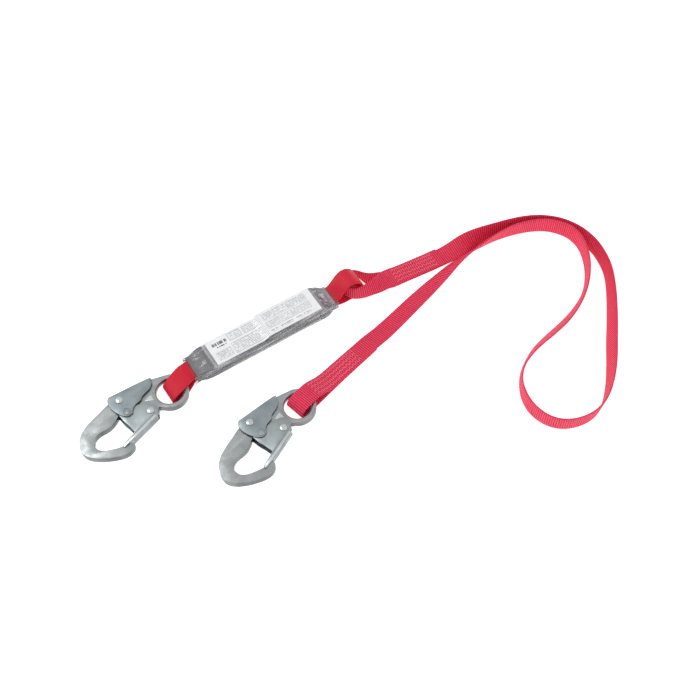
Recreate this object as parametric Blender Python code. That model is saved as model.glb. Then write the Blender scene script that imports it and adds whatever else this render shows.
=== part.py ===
"""Shock absorbing lanyard: an energy absorber pack, one webbing leg and two double-locking snap hooks.

The lanyard lies on a floor at z = 0.  The origin is under the middle of the pack, +X runs along the pack
from the anchor hook to the leg, and +Z is up.  Lengths are metres.
"""
import math

import bmesh
import bpy
from mathutils import Matrix, Vector

MM = 0.001
GAP = 0.4 * MM                 # air left between pieces that touch on the real lanyard

# Webbing
WEB_WIDTH = 24.0 * MM
WEB_THICK = 2.0 * MM
LAYER = WEB_THICK + GAP        # rise from one webbing layer to the next

# Energy absorber pack
PACK_WEB_WIDTH = 31.0 * MM
PACK_WEB_THICK = 1.6 * MM
PACK_LAYER = 2.2 * MM          # rise from one folded run to the next
ENERGY_RUNS = 7
PACK_LEFT, PACK_RIGHT = -70.0 * MM, 67.0 * MM
TAPER_X = 77.0 * MM            # beyond this the webs are as narrow as the loops they are sewn to
STEP_X = 3.0 * MM              # where the folded backup web begins and the pack grows thicker
SLEEVE_WALL = 0.5 * MM
LABEL_THICK = 0.4 * MM
LABEL_WIDTH = 33.0 * MM

# Snap hook, measured from the middle of its eye; the bow points to -X and the gate is on the -Y side
EYE_HOLE_RADIUS = 15.3 * MM
EYE_RING_RADIUS = 20.8 * MM
FRAME_THICK = 9.6 * MM
GATE_SHEET = 1.3 * MM
LOCK_SHEET = 1.3 * MM
PLATE_GAP = 0.45 * MM
LOCK_PIVOT = (-53.0 * MM, 17.6 * MM)
GATE_PIVOT = (-29.5 * MM, -11.0 * MM)
RIVET_RADIUS = 2.6 * MM
RIVET_HOLE = RIVET_RADIUS + 0.35 * MM
DOME_RADIUS = 4.0 * MM
DOME_RISE = 1.5 * MM
SPRING_WIRE = 0.45 * MM        # radius
SPRING_RADIUS = 4.0 * MM
SPRING_TURNS = 2.5
SPRING_PITCH = 1.25 * MM
POCKET_RADIUS = 5.0 * MM
POCKET_FLOOR = 0.6 * MM        # height of the spring pocket's floor over the hook's middle plane

GATE_HALF = FRAME_THICK / 2 + PLATE_GAP + GATE_SHEET
LOCK_HALF = GATE_HALF + PLATE_GAP + LOCK_SHEET
HOOK_HEIGHT = LOCK_HALF + DOME_RISE + 0.1 * MM    # the hooks lie on their rivet heads

HOOK_1_EYE, HOOK_1_YAW = (-125.0 * MM, -12.0 * MM), 0.0
HOOK_2_EYE, HOOK_2_YAW = (-16.3 * MM, -104.6 * MM), 9.0

# Route of the leg from the link eye round the far loop to the second hook: x, y, roll in mm and degrees.
# Roll lifts the edge on the left of the walking direction; the web rests on its lower edge.
LEG_ROUTE = [
    (166, -15.6, 4), (180, -17.0, 0), (200, -19.2, 0), (222, -21.4, 0), (241, -22.9, 1),
    (257, -24.5, 16), (270, -25.9, 40), (284, -27.4, 62), (303, -30.6, 76), (325, -36.0, 80),
    (345, -43.0, 82), (362, -53.0, 83), (377, -68.0, 82), (387.5, -88, 81), (391.5, -109, 81),
    (390, -129, 81), (383, -151, 79), (369, -174, 74), (349.5, -200, 70), (328.5, -225.5, 68),
    (308, -250.5, 70), (289, -270, 76), (270, -284, 83), (250, -290, 88), (229.5, -287.5, 89),
    (213, -278.5, 90), (202.5, -264, 92), (198.5, -246, 94), (201, -229, 93), (208, -214.5, 91),
    (220, -202, 96), (235.5, -193.5, 105), (253.5, -187, 115), (275, -182.5, 120), (299, -177.5, 118),
    (323, -169, 109), (344.5, -156.5, 99), (361.5, -140, 96), (374, -121, 96), (381, -102, 96),
    (380.5, -84.5, 96), (373, -69.8, 94), (360.4, -57.4, 92), (342.8, -48.4, 90), (322, -42.5, 86),
    (300, -41.0, 79), (280, -41.6, 71), (258, -42.8, 62), (238, -45.5, 50), (218, -49.4, 38),
    (196, -53.6, 28), (170, -59.8, 21), (140, -67.5, 16), (118, -72.6, 12),
]
# Sewn part beside the second hook, on top of the folded-back tail: x, y, z, roll
HOOK_END = [
    (97, -77.2, 5.8, 9), (80, -80.8, 5.4, 7), (50, -87.3, 4.8, 4), (36, -90.6, 4.9, 2),
    (25, -93.3, 6.9, 1), (15, -95.8, 12.2, 0), (7, -97.9, 16.2, 0), (-2, -100.4, 17.4, 0),
    (-12, -103.2, 17.4, 0),
]
HOOK_BIGHT = [(-18.4, -105.0, 14.6, 0), (-20.6, -105.6, 9.4, 0), (-18.4, -105.0, 4.2, 0)]
HOOK_TAIL = [(-11, -103.0, 1.4, 0), (4, -98.9, 1.4, 0), (28, -92.6, 1.6, 1), (50, -87.4, 2.2, 4),
             (80, -80.9, 2.8, 7), (97, -77.2, 3.2, 9)]
# Link eye: the sewn-back tail, then the eye standing on edge, then the start of the leg
LINK_TAIL = [(233, -22.2, 3.9, 180), (222, -21.4, 3.9, 180), (200, -19.2, 3.9, 180),
             (180, -17.0, 4.1, 180), (166, -16.4, 5.8, 172)]
LINK_EYE = [(157, -17.0, 8.0, 160, 22), (148, -18.6, 10.0, 144, 20), (138, -19.4, 11.6, 128, 18),
            (126, -18.8, 12.0, 114, 16.5), (116, -14.6, 11.6, 108, 15), (111, -5.0, 10.6, 106, 14),
            (111.6, 5.5, 9.4, 102, 13), (117.0, 12.6, 8.2, 94, 12), (124, 14.2, 7.3, 90, 11.5),
            (131.2, 13.4, 6.8, 88, 11.5), (136.4, 8.9, 6.6, 84, 12), (139.4, 2.6, 6.9, 74, 13),
            (143.2, -4.4, 7.3, 56, 15.5), (149.0, -9.8, 6.6, 36, 18.5), (156.6, -13.4, 4.4, 16, 21.5)]

# Loops of the pack: x, y, z, tilt of the width about X
LINK_LOOP = [(83, -2.3, 12.0, 0), (90, -2.3, 11.9, 0), (96, -2.2, 14.2, 0), (101.5, -2.0, 20.0, 0),
             (107, -1.8, 26.2, 0), (113, -1.6, 29.5, 0), (119.5, -1.6, 28.7, 0), (125.5, -1.7, 24.0, 0),
             (129.4, -1.8, 17.4, 0), (130.6, -1.8, 10.6, 0), (128.4, -1.9, 4.6, 0), (122, -2.0, 1.5, 0),
             (112, -2.0, 1.3, 0), (103, -2.1, 1.9, 0), (96, -2.2, 4.2, 0), (90, -2.3, 4.9, 0),
             (83, -2.3, 4.9, 0)]
ANCHOR_LOOP = [(-83, 0.9, 12.0, 0), (-90, 0.3, 12.2, 0), (-96, -1.2, 13.2, 0), (-103, -4.2, 16.0, 0),
               (-111, -8.0, 17.5, 0), (-119, -11.2, 17.4, 0),
               (-125.4, -12.6, 14.6, 0), (-127.8, -13.0, 9.6, 0), (-125.4, -12.6, 4.7, 0),
               (-119, -11.2, 1.8, 0), (-111, -8.0, 1.5, 0), (-103, -4.2, 2.3, 0), (-96, -1.2, 4.2, 0),
               (-90, 0.3, 4.9, 0), (-83, 0.9, 4.9, 0)]

# Sleeve stations: x, half width, lowest point, highest point and corner radius
SLEEVE = [(-94, 15.3, 2.0, 15.6, 1.2), (-87, 14.6, 2.0, 15.2, 1.2), (-80, 16.8, 1.0, 16.6, 1.6),
          (-73.5, 17.5, 0.1, 18.6, 2.2), (-68, 17.6, 0.0, 18.9, 2.2), (-5, 17.6, 0.0, 18.9, 2.2),
          (4, 17.6, 0.0, 23.3, 2.2), (68, 17.6, 0.0, 23.3, 2.2), (74, 17.5, 0.1, 22.6, 2.0),
          (80, 16.8, 1.0, 18.6, 1.6), (87, 14.3, 2.0, 15.2, 1.2), (94, 14.3, 2.0, 15.2, 1.2)]

# Hook outlines
FRAME_TOP = [(-11.6, 24.2), (-12.9, 18.2), (-30, 18.8), (-50, 20.6), (-64, 21.8), (-77, 17.9), (-92, 12.9),
             (-103, 7.6), (-111.5, -0.6), (-115.5, -11), (-114.5, -19.5), (-109, -27), (-99.5, -33.8),
             (-89, -39), (-79, -42.3), (-71, -42.3), (-65, -39.6), (-62.6, -36.2), (-64.5, -33.4),
             (-70, -32.2), (-77, -31.8), (-86, -29.5), (-94.5, -26), (-99.5, -21), (-100.8, -14),
             (-96, -7.5), (-89, -5), (-77, -4.5), (-68, -1), (-61, 3.5), (-54, 6.5), (-47, 6.0),
             (-41, 0.5), (-37.5, -8), (-34.5, -14.6), (-29, -17.2), (-23.4, -15.6), (-19, -11.6)]
GATE_OUTLINE = [(-61.6, 2.4), (-60.4, -7), (-58.2, -14.5), (-56.4, -24.6), (-74.4, -31.2), (-75.2, -33.2),
                (-74.4, -35.6), (-28.4, -20.9), (-23.4, -17.2), (-21.2, -11), (-23.4, -5), (-27, -1.6),
                (-31, 1.2), (-44, 3.4)]
GATE_BACK_START = -61.6        # the gate's back wall begins behind the tip of the bow
LOCK_OUTLINE = [(-61.0, 2.2), (-64.8, 11), (-65.6, 19.6), (-64.2, 24.6), (-61.4, 27.4), (-14.6, 25.2),
                (-11.8, 22.6), (-12.8, 17.4), (-17.6, 12.8), (-24.6, 10.4), (-29.4, 8.6), (-32.6, 5.4),
                (-40, 3.6), (-44.4, 0.6), (-47.4, -4.0), (-52.6, -5.2), (-57.4, -2.6)]

STEEL = ("zinc_plated_steel", (0.62, 0.64, 0.63), 0.32, 0.9)
SPRING_STEEL = ("spring_steel", (0.45, 0.46, 0.47), 0.35, 0.9)
RED_WEB = ("red_webbing", (0.62, 0.03, 0.075), 0.85, 0.0)
GREY_WEB = ("grey_tear_web", (0.42, 0.43, 0.45), 0.85, 0.0)
CLEAR_FILM = ("clear_film", (0.80, 0.82, 0.84), 0.15, 0.0)
LABEL_WHITE = ("white_label", (0.85, 0.86, 0.87), 0.45, 0.0)


def clear_scene():
    """Remove every object of the open scene."""
    for item in list(bpy.data.objects):
        bpy.data.objects.remove(item, do_unlink=True)


def material(spec):
    """Return the Principled material for a (name, colour, roughness, metallic) tuple, made once."""
    name, colour, roughness, metallic = spec
    found = bpy.data.materials.get(name)
    if found:
        return found
    made = bpy.data.materials.new(name)
    made.use_nodes = True
    shader = made.node_tree.nodes["Principled BSDF"]
    shader.inputs["Base Color"].default_value = (*colour, 1.0)
    shader.inputs["Roughness"].default_value = roughness
    shader.inputs["Metallic"].default_value = metallic
    made.diffuse_color = (*colour, 1.0)
    return made


def add_object(name, bm, spec, parent=None, smooth_angle=None):
    """Turn a bmesh into a named object with its material, under a parent empty when one is given."""
    bmesh.ops.recalc_face_normals(bm, faces=bm.faces)
    mesh = bpy.data.meshes.new(name)
    bm.to_mesh(mesh)
    bm.free()
    mesh.materials.append(material(spec))
    if smooth_angle is not None:
        mesh.shade_smooth()
        mesh.set_sharp_from_angle(angle=math.radians(smooth_angle))
    item = bpy.data.objects.new(name, mesh)
    bpy.context.collection.objects.link(item)
    item.parent = parent
    return item


def add_empty(name, location, parent=None, yaw=0.0):
    """Add an empty that marks a joint axis or the frame of a sub-assembly."""
    item = bpy.data.objects.new(name, None)
    item.empty_display_size = 0.01
    item.location = location
    item.rotation_euler = (0.0, 0.0, math.radians(yaw))
    item.parent = parent
    bpy.context.collection.objects.link(item)
    return item


def smooth_through(points, per_span):
    """Catmull-Rom curve through tuples of any length, with per_span samples between neighbours."""
    knots = [Vector(p) for p in points]
    knots = [2 * knots[0] - knots[1], *knots, 2 * knots[-1] - knots[-2]]
    out = []
    for i in range(1, len(knots) - 2):
        p0, p1, p2, p3 = knots[i - 1:i + 3]
        for k in range(per_span):
            t = k / per_span
            out.append(0.5 * (2 * p1 + (p2 - p0) * t + (2 * p0 - 5 * p1 + 4 * p2 - p3) * t * t
                              + (3 * p1 - p0 - 3 * p2 + p3) * t ** 3))
    out.append(knots[-2])
    return out


def roll_frame(points, rolls):
    """Width directions of a web whose left edge is lifted by the given roll at each point."""
    directions = []
    for i, roll in enumerate(rolls):
        ahead = points[min(i + 1, len(points) - 1)] - points[max(i - 1, 0)]
        ahead.normalize()
        left = Vector((-ahead.y, ahead.x, 0.0)).normalized()
        up = ahead.cross(left)
        angle = math.radians(roll)
        directions.append(left * math.cos(angle) + up * math.sin(angle))
    return directions


def ribbon(name, points, widthways, widths, thick, spec, parent=None):
    """Sweep a flat rectangular section along points; widthways and widths give its width at each point."""
    bm = bmesh.new()
    rings = []
    for i, (point, width) in enumerate(zip(points, widths)):
        ahead = points[min(i + 1, len(points) - 1)] - points[max(i - 1, 0)]
        ahead.normalize()
        across = widthways[i] - ahead * widthways[i].dot(ahead)
        across.normalize()
        up = ahead.cross(across)
        corners = [(-1, -1), (1, -1), (1, 1), (-1, 1)]
        ring = [bm.verts.new(point + across * (u * width / 2) + up * (v * thick / 2)) for u, v in corners]
        rings.append(ring)
    for before, after in zip(rings, rings[1:]):
        for k in range(4):
            bm.faces.new((before[k], before[(k + 1) % 4], after[(k + 1) % 4], after[k]))
    bm.faces.new(reversed(rings[0]))
    bm.faces.new(rings[-1])
    return add_object(name, bm, spec, parent, smooth_angle=35)


def loop_ribbon(name, stations, parent):
    """A webbing loop from (x, y, z, tilt) stations in mm and degrees; tilt turns its width about X."""
    samples = smooth_through(stations, 3)
    points = [Vector(s[:3]) * MM for s in samples]
    widthways = [Vector((0.0, math.cos(math.radians(s[3])), math.sin(math.radians(s[3])))) for s in samples]
    return ribbon(name, points, widthways, [WEB_WIDTH] * len(points), WEB_THICK, RED_WEB, parent)


def pack_centre(x):
    """Side offset of the pack's middle line, which runs a little askew."""
    return -0.8 * MM - 0.018 * x


def folded_web(name, turns, parent):
    """A folded web of the pack from (x, z) turning points in metres, kept on the pack's middle line."""
    points = [Vector((x, pack_centre(x), z)) for x, z in turns]
    widths = [WEB_WIDTH if abs(p.x) > TAPER_X else PACK_WEB_WIDTH for p in points]
    return ribbon(name, points, [Vector((0, 1, 0))] * len(points), widths, PACK_WEB_THICK, GREY_WEB, parent)


def fold_arc(x, low, side):
    """Half-round fold at x that joins the run at height low to the next run up; side is +1 or -1."""
    steps = 4
    radius = PACK_LAYER / 2
    arc = []
    for k in range(1, steps):
        angle = -math.pi / 2 + math.pi * k / steps
        arc.append((x + side * radius * math.cos(angle), low + radius + radius * math.sin(angle)))
    return arc


def energy_turns():
    """Side view of the tear web: its sewn ends and the stacked runs between them."""
    first = PACK_WEB_THICK / 2 + SLEEVE_WALL + GAP
    turns = [(-90 * MM, 7.3 * MM), (-81 * MM, 7.2 * MM), (-75 * MM, 3.4 * MM), (PACK_LEFT, first)]
    for run in range(ENERGY_RUNS):
        height = first + run * PACK_LAYER
        heading_right = run % 2 == 0
        end = PACK_RIGHT if heading_right else PACK_LEFT
        turns.append((end, height))
        if run < ENERGY_RUNS - 1:
            turns += fold_arc(end, height, 1 if heading_right else -1)
            turns.append((end, height + PACK_LAYER))
    turns += [(73 * MM, 12.2 * MM), (81 * MM, 7.4 * MM), (90 * MM, 7.2 * MM)]
    return drop_repeats(turns)


def backup_turns():
    """Side view of the backup web: one long run, then two more above it on the leg's side."""
    first = PACK_WEB_THICK / 2 + SLEEVE_WALL + GAP + ENERGY_RUNS * PACK_LAYER
    fold_left, fold_right = STEP_X + 4 * MM, PACK_RIGHT - 1 * MM
    turns = [(-90 * MM, 9.6 * MM), (-81 * MM, 9.7 * MM), (-78 * MM, 11.6 * MM), (-74.6 * MM, 15.8 * MM),
             (PACK_LEFT, first)]
    turns += [(fold_right, first), *fold_arc(fold_right, first, 1), (fold_right, first + PACK_LAYER)]
    second = first + PACK_LAYER
    turns += [(fold_left, second), *fold_arc(fold_left, second, -1), (fold_left, second + PACK_LAYER)]
    turns += [(PACK_RIGHT, second + PACK_LAYER), (74 * MM, 17.8 * MM), (81 * MM, 9.9 * MM),
              (90 * MM, 9.5 * MM)]
    return drop_repeats(turns)


def drop_repeats(turns):
    """Leave out a turning point that falls on the one before it."""
    kept = [turns[0]]
    for x, z in turns[1:]:
        if math.hypot(x - kept[-1][0], z - kept[-1][1]) > 0.2 * MM:
            kept.append((x, z))
    return kept


def rounded_section(half_width, low, high, radius, inset):
    """Points of a rounded rectangle in the YZ plane, counterclockwise, set in by inset."""
    half, bottom, top = half_width - inset, low + inset, high - inset
    radius -= inset
    corners = [(half - radius, bottom + radius, -90), (half - radius, top - radius, 0),
               (radius - half, top - radius, 90), (radius - half, bottom + radius, 180)]
    points = []
    for cy, cz, start in corners:
        for k in range(4):
            angle = math.radians(start + 30 * k)
            points.append((cy + radius * math.cos(angle), cz + radius * math.sin(angle)))
    return points


def sleeve(parent):
    """Clear film sleeve: an open-ended tube round the folded webs."""
    bm = bmesh.new()
    walls = []
    for inset in (0.0, SLEEVE_WALL):
        rings = []
        for x, half, low, high, radius in SLEEVE:
            section = rounded_section(half * MM, low * MM, high * MM, radius * MM, inset)
            rings.append([bm.verts.new((x * MM, pack_centre(x * MM) + y, z)) for y, z in section])
        for before, after in zip(rings, rings[1:]):
            for k in range(len(before)):
                nxt = (k + 1) % len(before)
                face = (before[k], after[k], after[nxt], before[nxt])
                bm.faces.new(face if inset == 0.0 else tuple(reversed(face)))
        walls.append(rings)
    for outer, inner in ((walls[0][0], walls[1][0]), (walls[0][-1], walls[1][-1])):
        for k in range(len(outer)):
            nxt = (k + 1) % len(outer)
            bm.faces.new((outer[k], outer[nxt], inner[nxt], inner[k]))
    return add_object("clear_sleeve", bm, CLEAR_FILM, parent, smooth_angle=40)


def label(name, stations, parent):
    """A label sheet on the sleeve's top face from (x, z) stations in mm."""
    points = [Vector((x * MM, pack_centre(x * MM), z * MM)) for x, z in stations]
    widths = [LABEL_WIDTH] * len(points)
    return ribbon(name, points, [Vector((0, 1, 0))] * len(points), widths, LABEL_THICK, LABEL_WHITE, parent)


def leg_webbing(parent):
    """The leg: one web with its eyes and both sewn-back tails, from the link round to the second hook."""
    route = []
    for x, y, roll in LEG_ROUTE:
        angle = math.radians(roll)
        rest = WEB_WIDTH / 2 * abs(math.sin(angle)) + WEB_THICK / 2 * abs(math.cos(angle))
        route.append((x, y, rest / MM + 0.3, roll))
    full = WEB_WIDTH / MM
    ahead = [*[(*s, full) for s in LINK_TAIL], *LINK_EYE, *[(*s, full) for s in (*route, *HOOK_END[:-1])]]
    samples = smooth_through(ahead, 2)
    points = [Vector(s[:3]) * MM for s in samples]
    widthways = roll_frame(points, [s[3] for s in samples])
    bight = smooth_through([*HOOK_END[-2:], *HOOK_BIGHT, *HOOK_TAIL], 2)[2:]
    yaw = math.radians(HOOK_2_YAW + 5)
    side = Vector((math.sin(yaw), -math.cos(yaw), 0.0))
    for s in bight:
        points.append(Vector(s[:3]) * MM)
        widthways.append((side + Vector((0, 0, math.sin(math.radians(s[3]))))).normalized())
    widths = [s[4] * MM for s in samples] + [WEB_WIDTH] * len(bight)
    return ribbon("leg_webbing", points, widthways, widths, WEB_THICK, RED_WEB, parent)


def extrude_outline(bm, outline, low, high):
    """Extrude a flat outline of (x, y) points in metres between two heights."""
    base = [bm.verts.new((x, y, low)) for x, y in outline]
    face = bm.faces.new(base)
    lifted = bmesh.ops.extrude_face_region(bm, geom=[face])
    moved = [v for v in lifted["geom"] if isinstance(v, bmesh.types.BMVert)]
    bmesh.ops.translate(bm, verts=moved, vec=(0, 0, high - low))


def scaled(outline):
    """An outline in metres from one in millimetres."""
    return [(x * MM, y * MM) for x, y in outline]


def cutter(name, bm, parent):
    """A guide object that a Boolean takes away; it is no piece of the lanyard."""
    item = add_object(name, bm, STEEL, parent)
    item.hide_render = True
    item.display_type = "WIRE"
    return item


def cut(item, tool):
    """Take the tool's volume away from the item."""
    boolean = item.modifiers.new("cut", "BOOLEAN")
    boolean.operation = "DIFFERENCE"
    boolean.solver = "EXACT"
    boolean.object = tool


def round_cutter(name, centre, radius, low, high, parent, segments=24):
    """A cylinder cutter along Z between two heights."""
    bm = bmesh.new()
    circle = [(centre[0] + radius * math.cos(2 * math.pi * k / segments),
               centre[1] + radius * math.sin(2 * math.pi * k / segments)) for k in range(segments)]
    extrude_outline(bm, circle, low, high)
    return cutter(name, bm, parent)


def hook_frame(tag, parent):
    """Forged hook body: bow, spine, gate lug and webbing eye in one plate with rounded edges."""
    arc = [(EYE_RING_RADIUS * math.cos(math.radians(a)), EYE_RING_RADIUS * math.sin(math.radians(a)))
           for a in range(-138, 78, 9)]
    bm = bmesh.new()
    half = FRAME_THICK / 2
    extrude_outline(bm, [*arc, *scaled(FRAME_TOP)], -half, half)
    frame = add_object(f"{tag}_frame", bm, STEEL, parent)
    bevel = frame.modifiers.new("rounded_edges", "BEVEL")
    bevel.width = 1.5 * MM
    bevel.segments = 2
    bevel.limit_method = "ANGLE"
    bevel.angle_limit = math.radians(60)
    top = half + 5 * MM
    cut(frame, round_cutter(f"{tag}_cut_eye", (0, 0), EYE_HOLE_RADIUS, -top, top, parent, 40))
    for key, pivot in (("gate", GATE_PIVOT), ("lock", LOCK_PIVOT)):
        cut(frame, round_cutter(f"{tag}_cut_{key}_hole", pivot, RIVET_HOLE, -top, top, parent, 16))
        cut(frame, round_cutter(f"{tag}_cut_{key}_pocket", pivot, POCKET_RADIUS, POCKET_FLOOR, top, parent))
    return frame


def channel(name, outline, pivot, half, sheet, slot, parent):
    """A folded sheet-steel channel: two side plates and the wall that the slot outline leaves standing."""
    bm = bmesh.new()
    shift = [(x * MM - pivot[0], y * MM - pivot[1]) for x, y in outline]
    extrude_outline(bm, shift, -half, half)
    item = add_object(name, bm, STEEL, parent)
    inner = half - sheet
    slot_bm = bmesh.new()
    extrude_outline(slot_bm, [(x * MM - pivot[0], y * MM - pivot[1]) for x, y in slot], -inner, inner)
    cut(item, cutter(f"{name}_cut_slot", slot_bm, parent))
    cut(item, round_cutter(f"{name}_cut_hole", (0, 0), RIVET_HOLE, -2 * half, 2 * half, parent, 16))
    return item


def rivet(name, pivot, half, parent):
    """Turned rivet with a domed head on each side of the outer plates at +half and -half."""
    stem = [(RIVET_RADIUS, 0.0), (RIVET_RADIUS, half + 0.35 * MM), (DOME_RADIUS, half + 0.35 * MM)]
    dome = [(DOME_RADIUS * math.cos(math.radians(a)),
             half + 0.35 * MM + (DOME_RISE - 0.35 * MM) * math.sin(math.radians(a))) for a in (30, 60)]
    upper = [*stem, *dome, (0.0, half + DOME_RISE)]
    profile = [(r, -z) for r, z in reversed(upper)][:-1] + upper[1:]
    bm = bmesh.new()
    verts = [bm.verts.new((r, 0.0, z)) for r, z in profile]
    edges = [bm.edges.new(pair) for pair in zip(verts, verts[1:])]
    bmesh.ops.spin(bm, geom=[*verts, *edges], cent=(0, 0, 0), axis=(0, 0, 1), angle=2 * math.pi, steps=16,
                   use_merge=True)
    bmesh.ops.remove_doubles(bm, verts=bm.verts, dist=1e-6)
    item = add_object(name, bm, STEEL, parent, smooth_angle=40)
    item.location = (pivot[0], pivot[1], 0.0)
    return item


def coil_spring(name, pivot, parent):
    """Torsion spring in the pocket of the frame, wound round a rivet."""
    turn_steps = 10
    steps = int(SPRING_TURNS * turn_steps)
    bm = bmesh.new()
    rings = []
    start = POCKET_FLOOR + 0.3 * MM + SPRING_WIRE
    for i in range(steps + 1):
        angle = 2 * math.pi * i / turn_steps
        out = Vector((math.cos(angle), math.sin(angle), 0.0))
        centre = out * SPRING_RADIUS + Vector((0, 0, start + SPRING_PITCH * i / turn_steps))
        rings.append([bm.verts.new(centre + (out * math.cos(a) + Vector((0, 0, 1)) * math.sin(a)) * SPRING_WIRE)
                      for a in (math.radians(60 * k) for k in range(6))])
    for before, after in zip(rings, rings[1:]):
        for k in range(6):
            bm.faces.new((before[k], before[(k + 1) % 6], after[(k + 1) % 6], after[k]))
    bm.faces.new(rings[0])
    bm.faces.new(reversed(rings[-1]))
    item = add_object(name, bm, SPRING_STEEL, parent, smooth_angle=60)
    item.location = (pivot[0], pivot[1], 0.0)
    return item


def snap_hook(tag, eye, yaw, parent):
    """One double-locking snap hook with its gate, lock lever, rivets and springs."""
    base = add_empty(f"{tag}_eye_centre", (*eye, HOOK_HEIGHT), parent, yaw)
    hook_frame(tag, base)
    gate_axis = add_empty(f"{tag}_gate_axis", (*GATE_PIVOT, 0.0), base)
    lock_axis = add_empty(f"{tag}_lock_axis", (*LOCK_PIVOT, 0.0), base)
    wall = GATE_SHEET / MM
    gate_slot = [(-90, -60), (GATE_BACK_START, -60), (GATE_BACK_START, -31.6 + wall),
                 (-28.6, -21 + wall), (-15, -21 + wall), (-15, 20), (-90, 20)]
    channel(f"{tag}_gate", GATE_OUTLINE, GATE_PIVOT, GATE_HALF, GATE_SHEET, gate_slot, gate_axis)
    lock_slot = [(-80, -20), (-5, -20), (-5, 24.8 - wall), (-14.6, 25.2 - wall), (-61.4, 27.4 - wall),
                 (-80, 28.3 - wall)]
    channel(f"{tag}_lock", LOCK_OUTLINE, LOCK_PIVOT, LOCK_HALF, LOCK_SHEET, lock_slot, lock_axis)
    rivet(f"{tag}_gate_rivet", GATE_PIVOT, GATE_HALF, base)
    rivet(f"{tag}_lock_rivet", LOCK_PIVOT, LOCK_HALF, base)
    coil_spring(f"{tag}_gate_spring", GATE_PIVOT, base)
    coil_spring(f"{tag}_lock_spring", LOCK_PIVOT, base)


def build():
    """Build the whole lanyard."""
    clear_scene()
    pack = add_empty("shock_pack_frame", (0, 0, 0))
    folded_web("energy_web", energy_turns(), pack)
    folded_web("backup_web", backup_turns(), pack)
    sleeve(pack)
    label("label_main", [(-65, 19.5), (-6.5, 19.5), (-4.5, 19.95), (1.5, 22.9)], pack)
    label("label_notes", [(3.5, 23.8), (7, 24.0), (68, 24.0), (71, 23.8)], pack)
    loop_ribbon("anchor_loop", ANCHOR_LOOP, pack)
    loop_ribbon("link_loop", LINK_LOOP, pack)
    leg = add_empty("leg_frame", (120 * MM, 0, 0))
    leg_item = leg_webbing(leg)
    leg_item.matrix_parent_inverse = Matrix.Translation((-120 * MM, 0, 0))
    snap_hook("hook_1", HOOK_1_EYE, HOOK_1_YAW, None)
    snap_hook("hook_2", HOOK_2_EYE, HOOK_2_YAW, None)


build()
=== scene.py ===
"""Looks of a shock absorbing lanyard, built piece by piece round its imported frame.

The lanyard lies on the floor at z = 0, with the origin under the middle of the energy absorber pack, +X along
the pack towards the leg and +Z up.  Lengths are metres unless a name says millimetres.
"""
from __future__ import annotations

import logging
import math
from dataclasses import dataclass, field
from enum import Enum
from typing import Callable, Sequence

import bmesh
import bpy
from mathutils import Matrix, Vector, noise

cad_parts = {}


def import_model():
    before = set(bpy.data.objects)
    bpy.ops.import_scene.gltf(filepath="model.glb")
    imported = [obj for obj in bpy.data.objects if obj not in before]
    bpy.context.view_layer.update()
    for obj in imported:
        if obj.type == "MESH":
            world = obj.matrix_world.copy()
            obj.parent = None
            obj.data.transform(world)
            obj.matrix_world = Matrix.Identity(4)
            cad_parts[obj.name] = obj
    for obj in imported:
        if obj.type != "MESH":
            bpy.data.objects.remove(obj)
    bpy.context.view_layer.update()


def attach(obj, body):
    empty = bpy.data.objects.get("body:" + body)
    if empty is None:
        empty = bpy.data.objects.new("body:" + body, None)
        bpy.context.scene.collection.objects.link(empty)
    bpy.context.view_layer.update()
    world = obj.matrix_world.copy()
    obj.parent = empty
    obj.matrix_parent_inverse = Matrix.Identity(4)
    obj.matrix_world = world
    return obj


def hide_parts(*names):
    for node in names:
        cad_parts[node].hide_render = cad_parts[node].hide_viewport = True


MM = 0.001
WEB_WIDTH = 24.0 * MM
WEB_THICK = 2.0 * MM
FLAT_SLOPE = 0.9            # a face whose normal rises more than this counts as flat
SMOOTH_STEEL = 38.0         # degrees between faces, past which an edge of steel stays sharp
LOG = logging.getLogger("lanyard")
Colour = tuple[float, float, float]
Outline = Sequence[tuple[float, float]]


class Body(str, Enum):
    """The moving bodies of the frame that the pieces ride on."""

    PACK = "shock_pack"
    LEG = "leg"
    HOOK_1 = "hook_1"
    GATE_1 = "gate_1"
    LOCK_1 = "lock_1"
    HOOK_2 = "hook_2"
    GATE_2 = "gate_2"
    LOCK_2 = "lock_2"


class Slot(str, Enum):
    """Material slots of the record."""

    RED = "red_webbing"
    GREY = "grey_tear_web"
    FILM = "clear_film"
    LABEL = "white_label"
    STEEL = "zinc_plated_steel"
    SPRING = "spring_steel"


class Moving(str, Enum):
    """The two folded sheet-steel parts of a hook that turn on rivets."""

    GATE = "gate"
    LOCK = "lock"


# ---------------------------------------------------------------- shader tools


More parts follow.
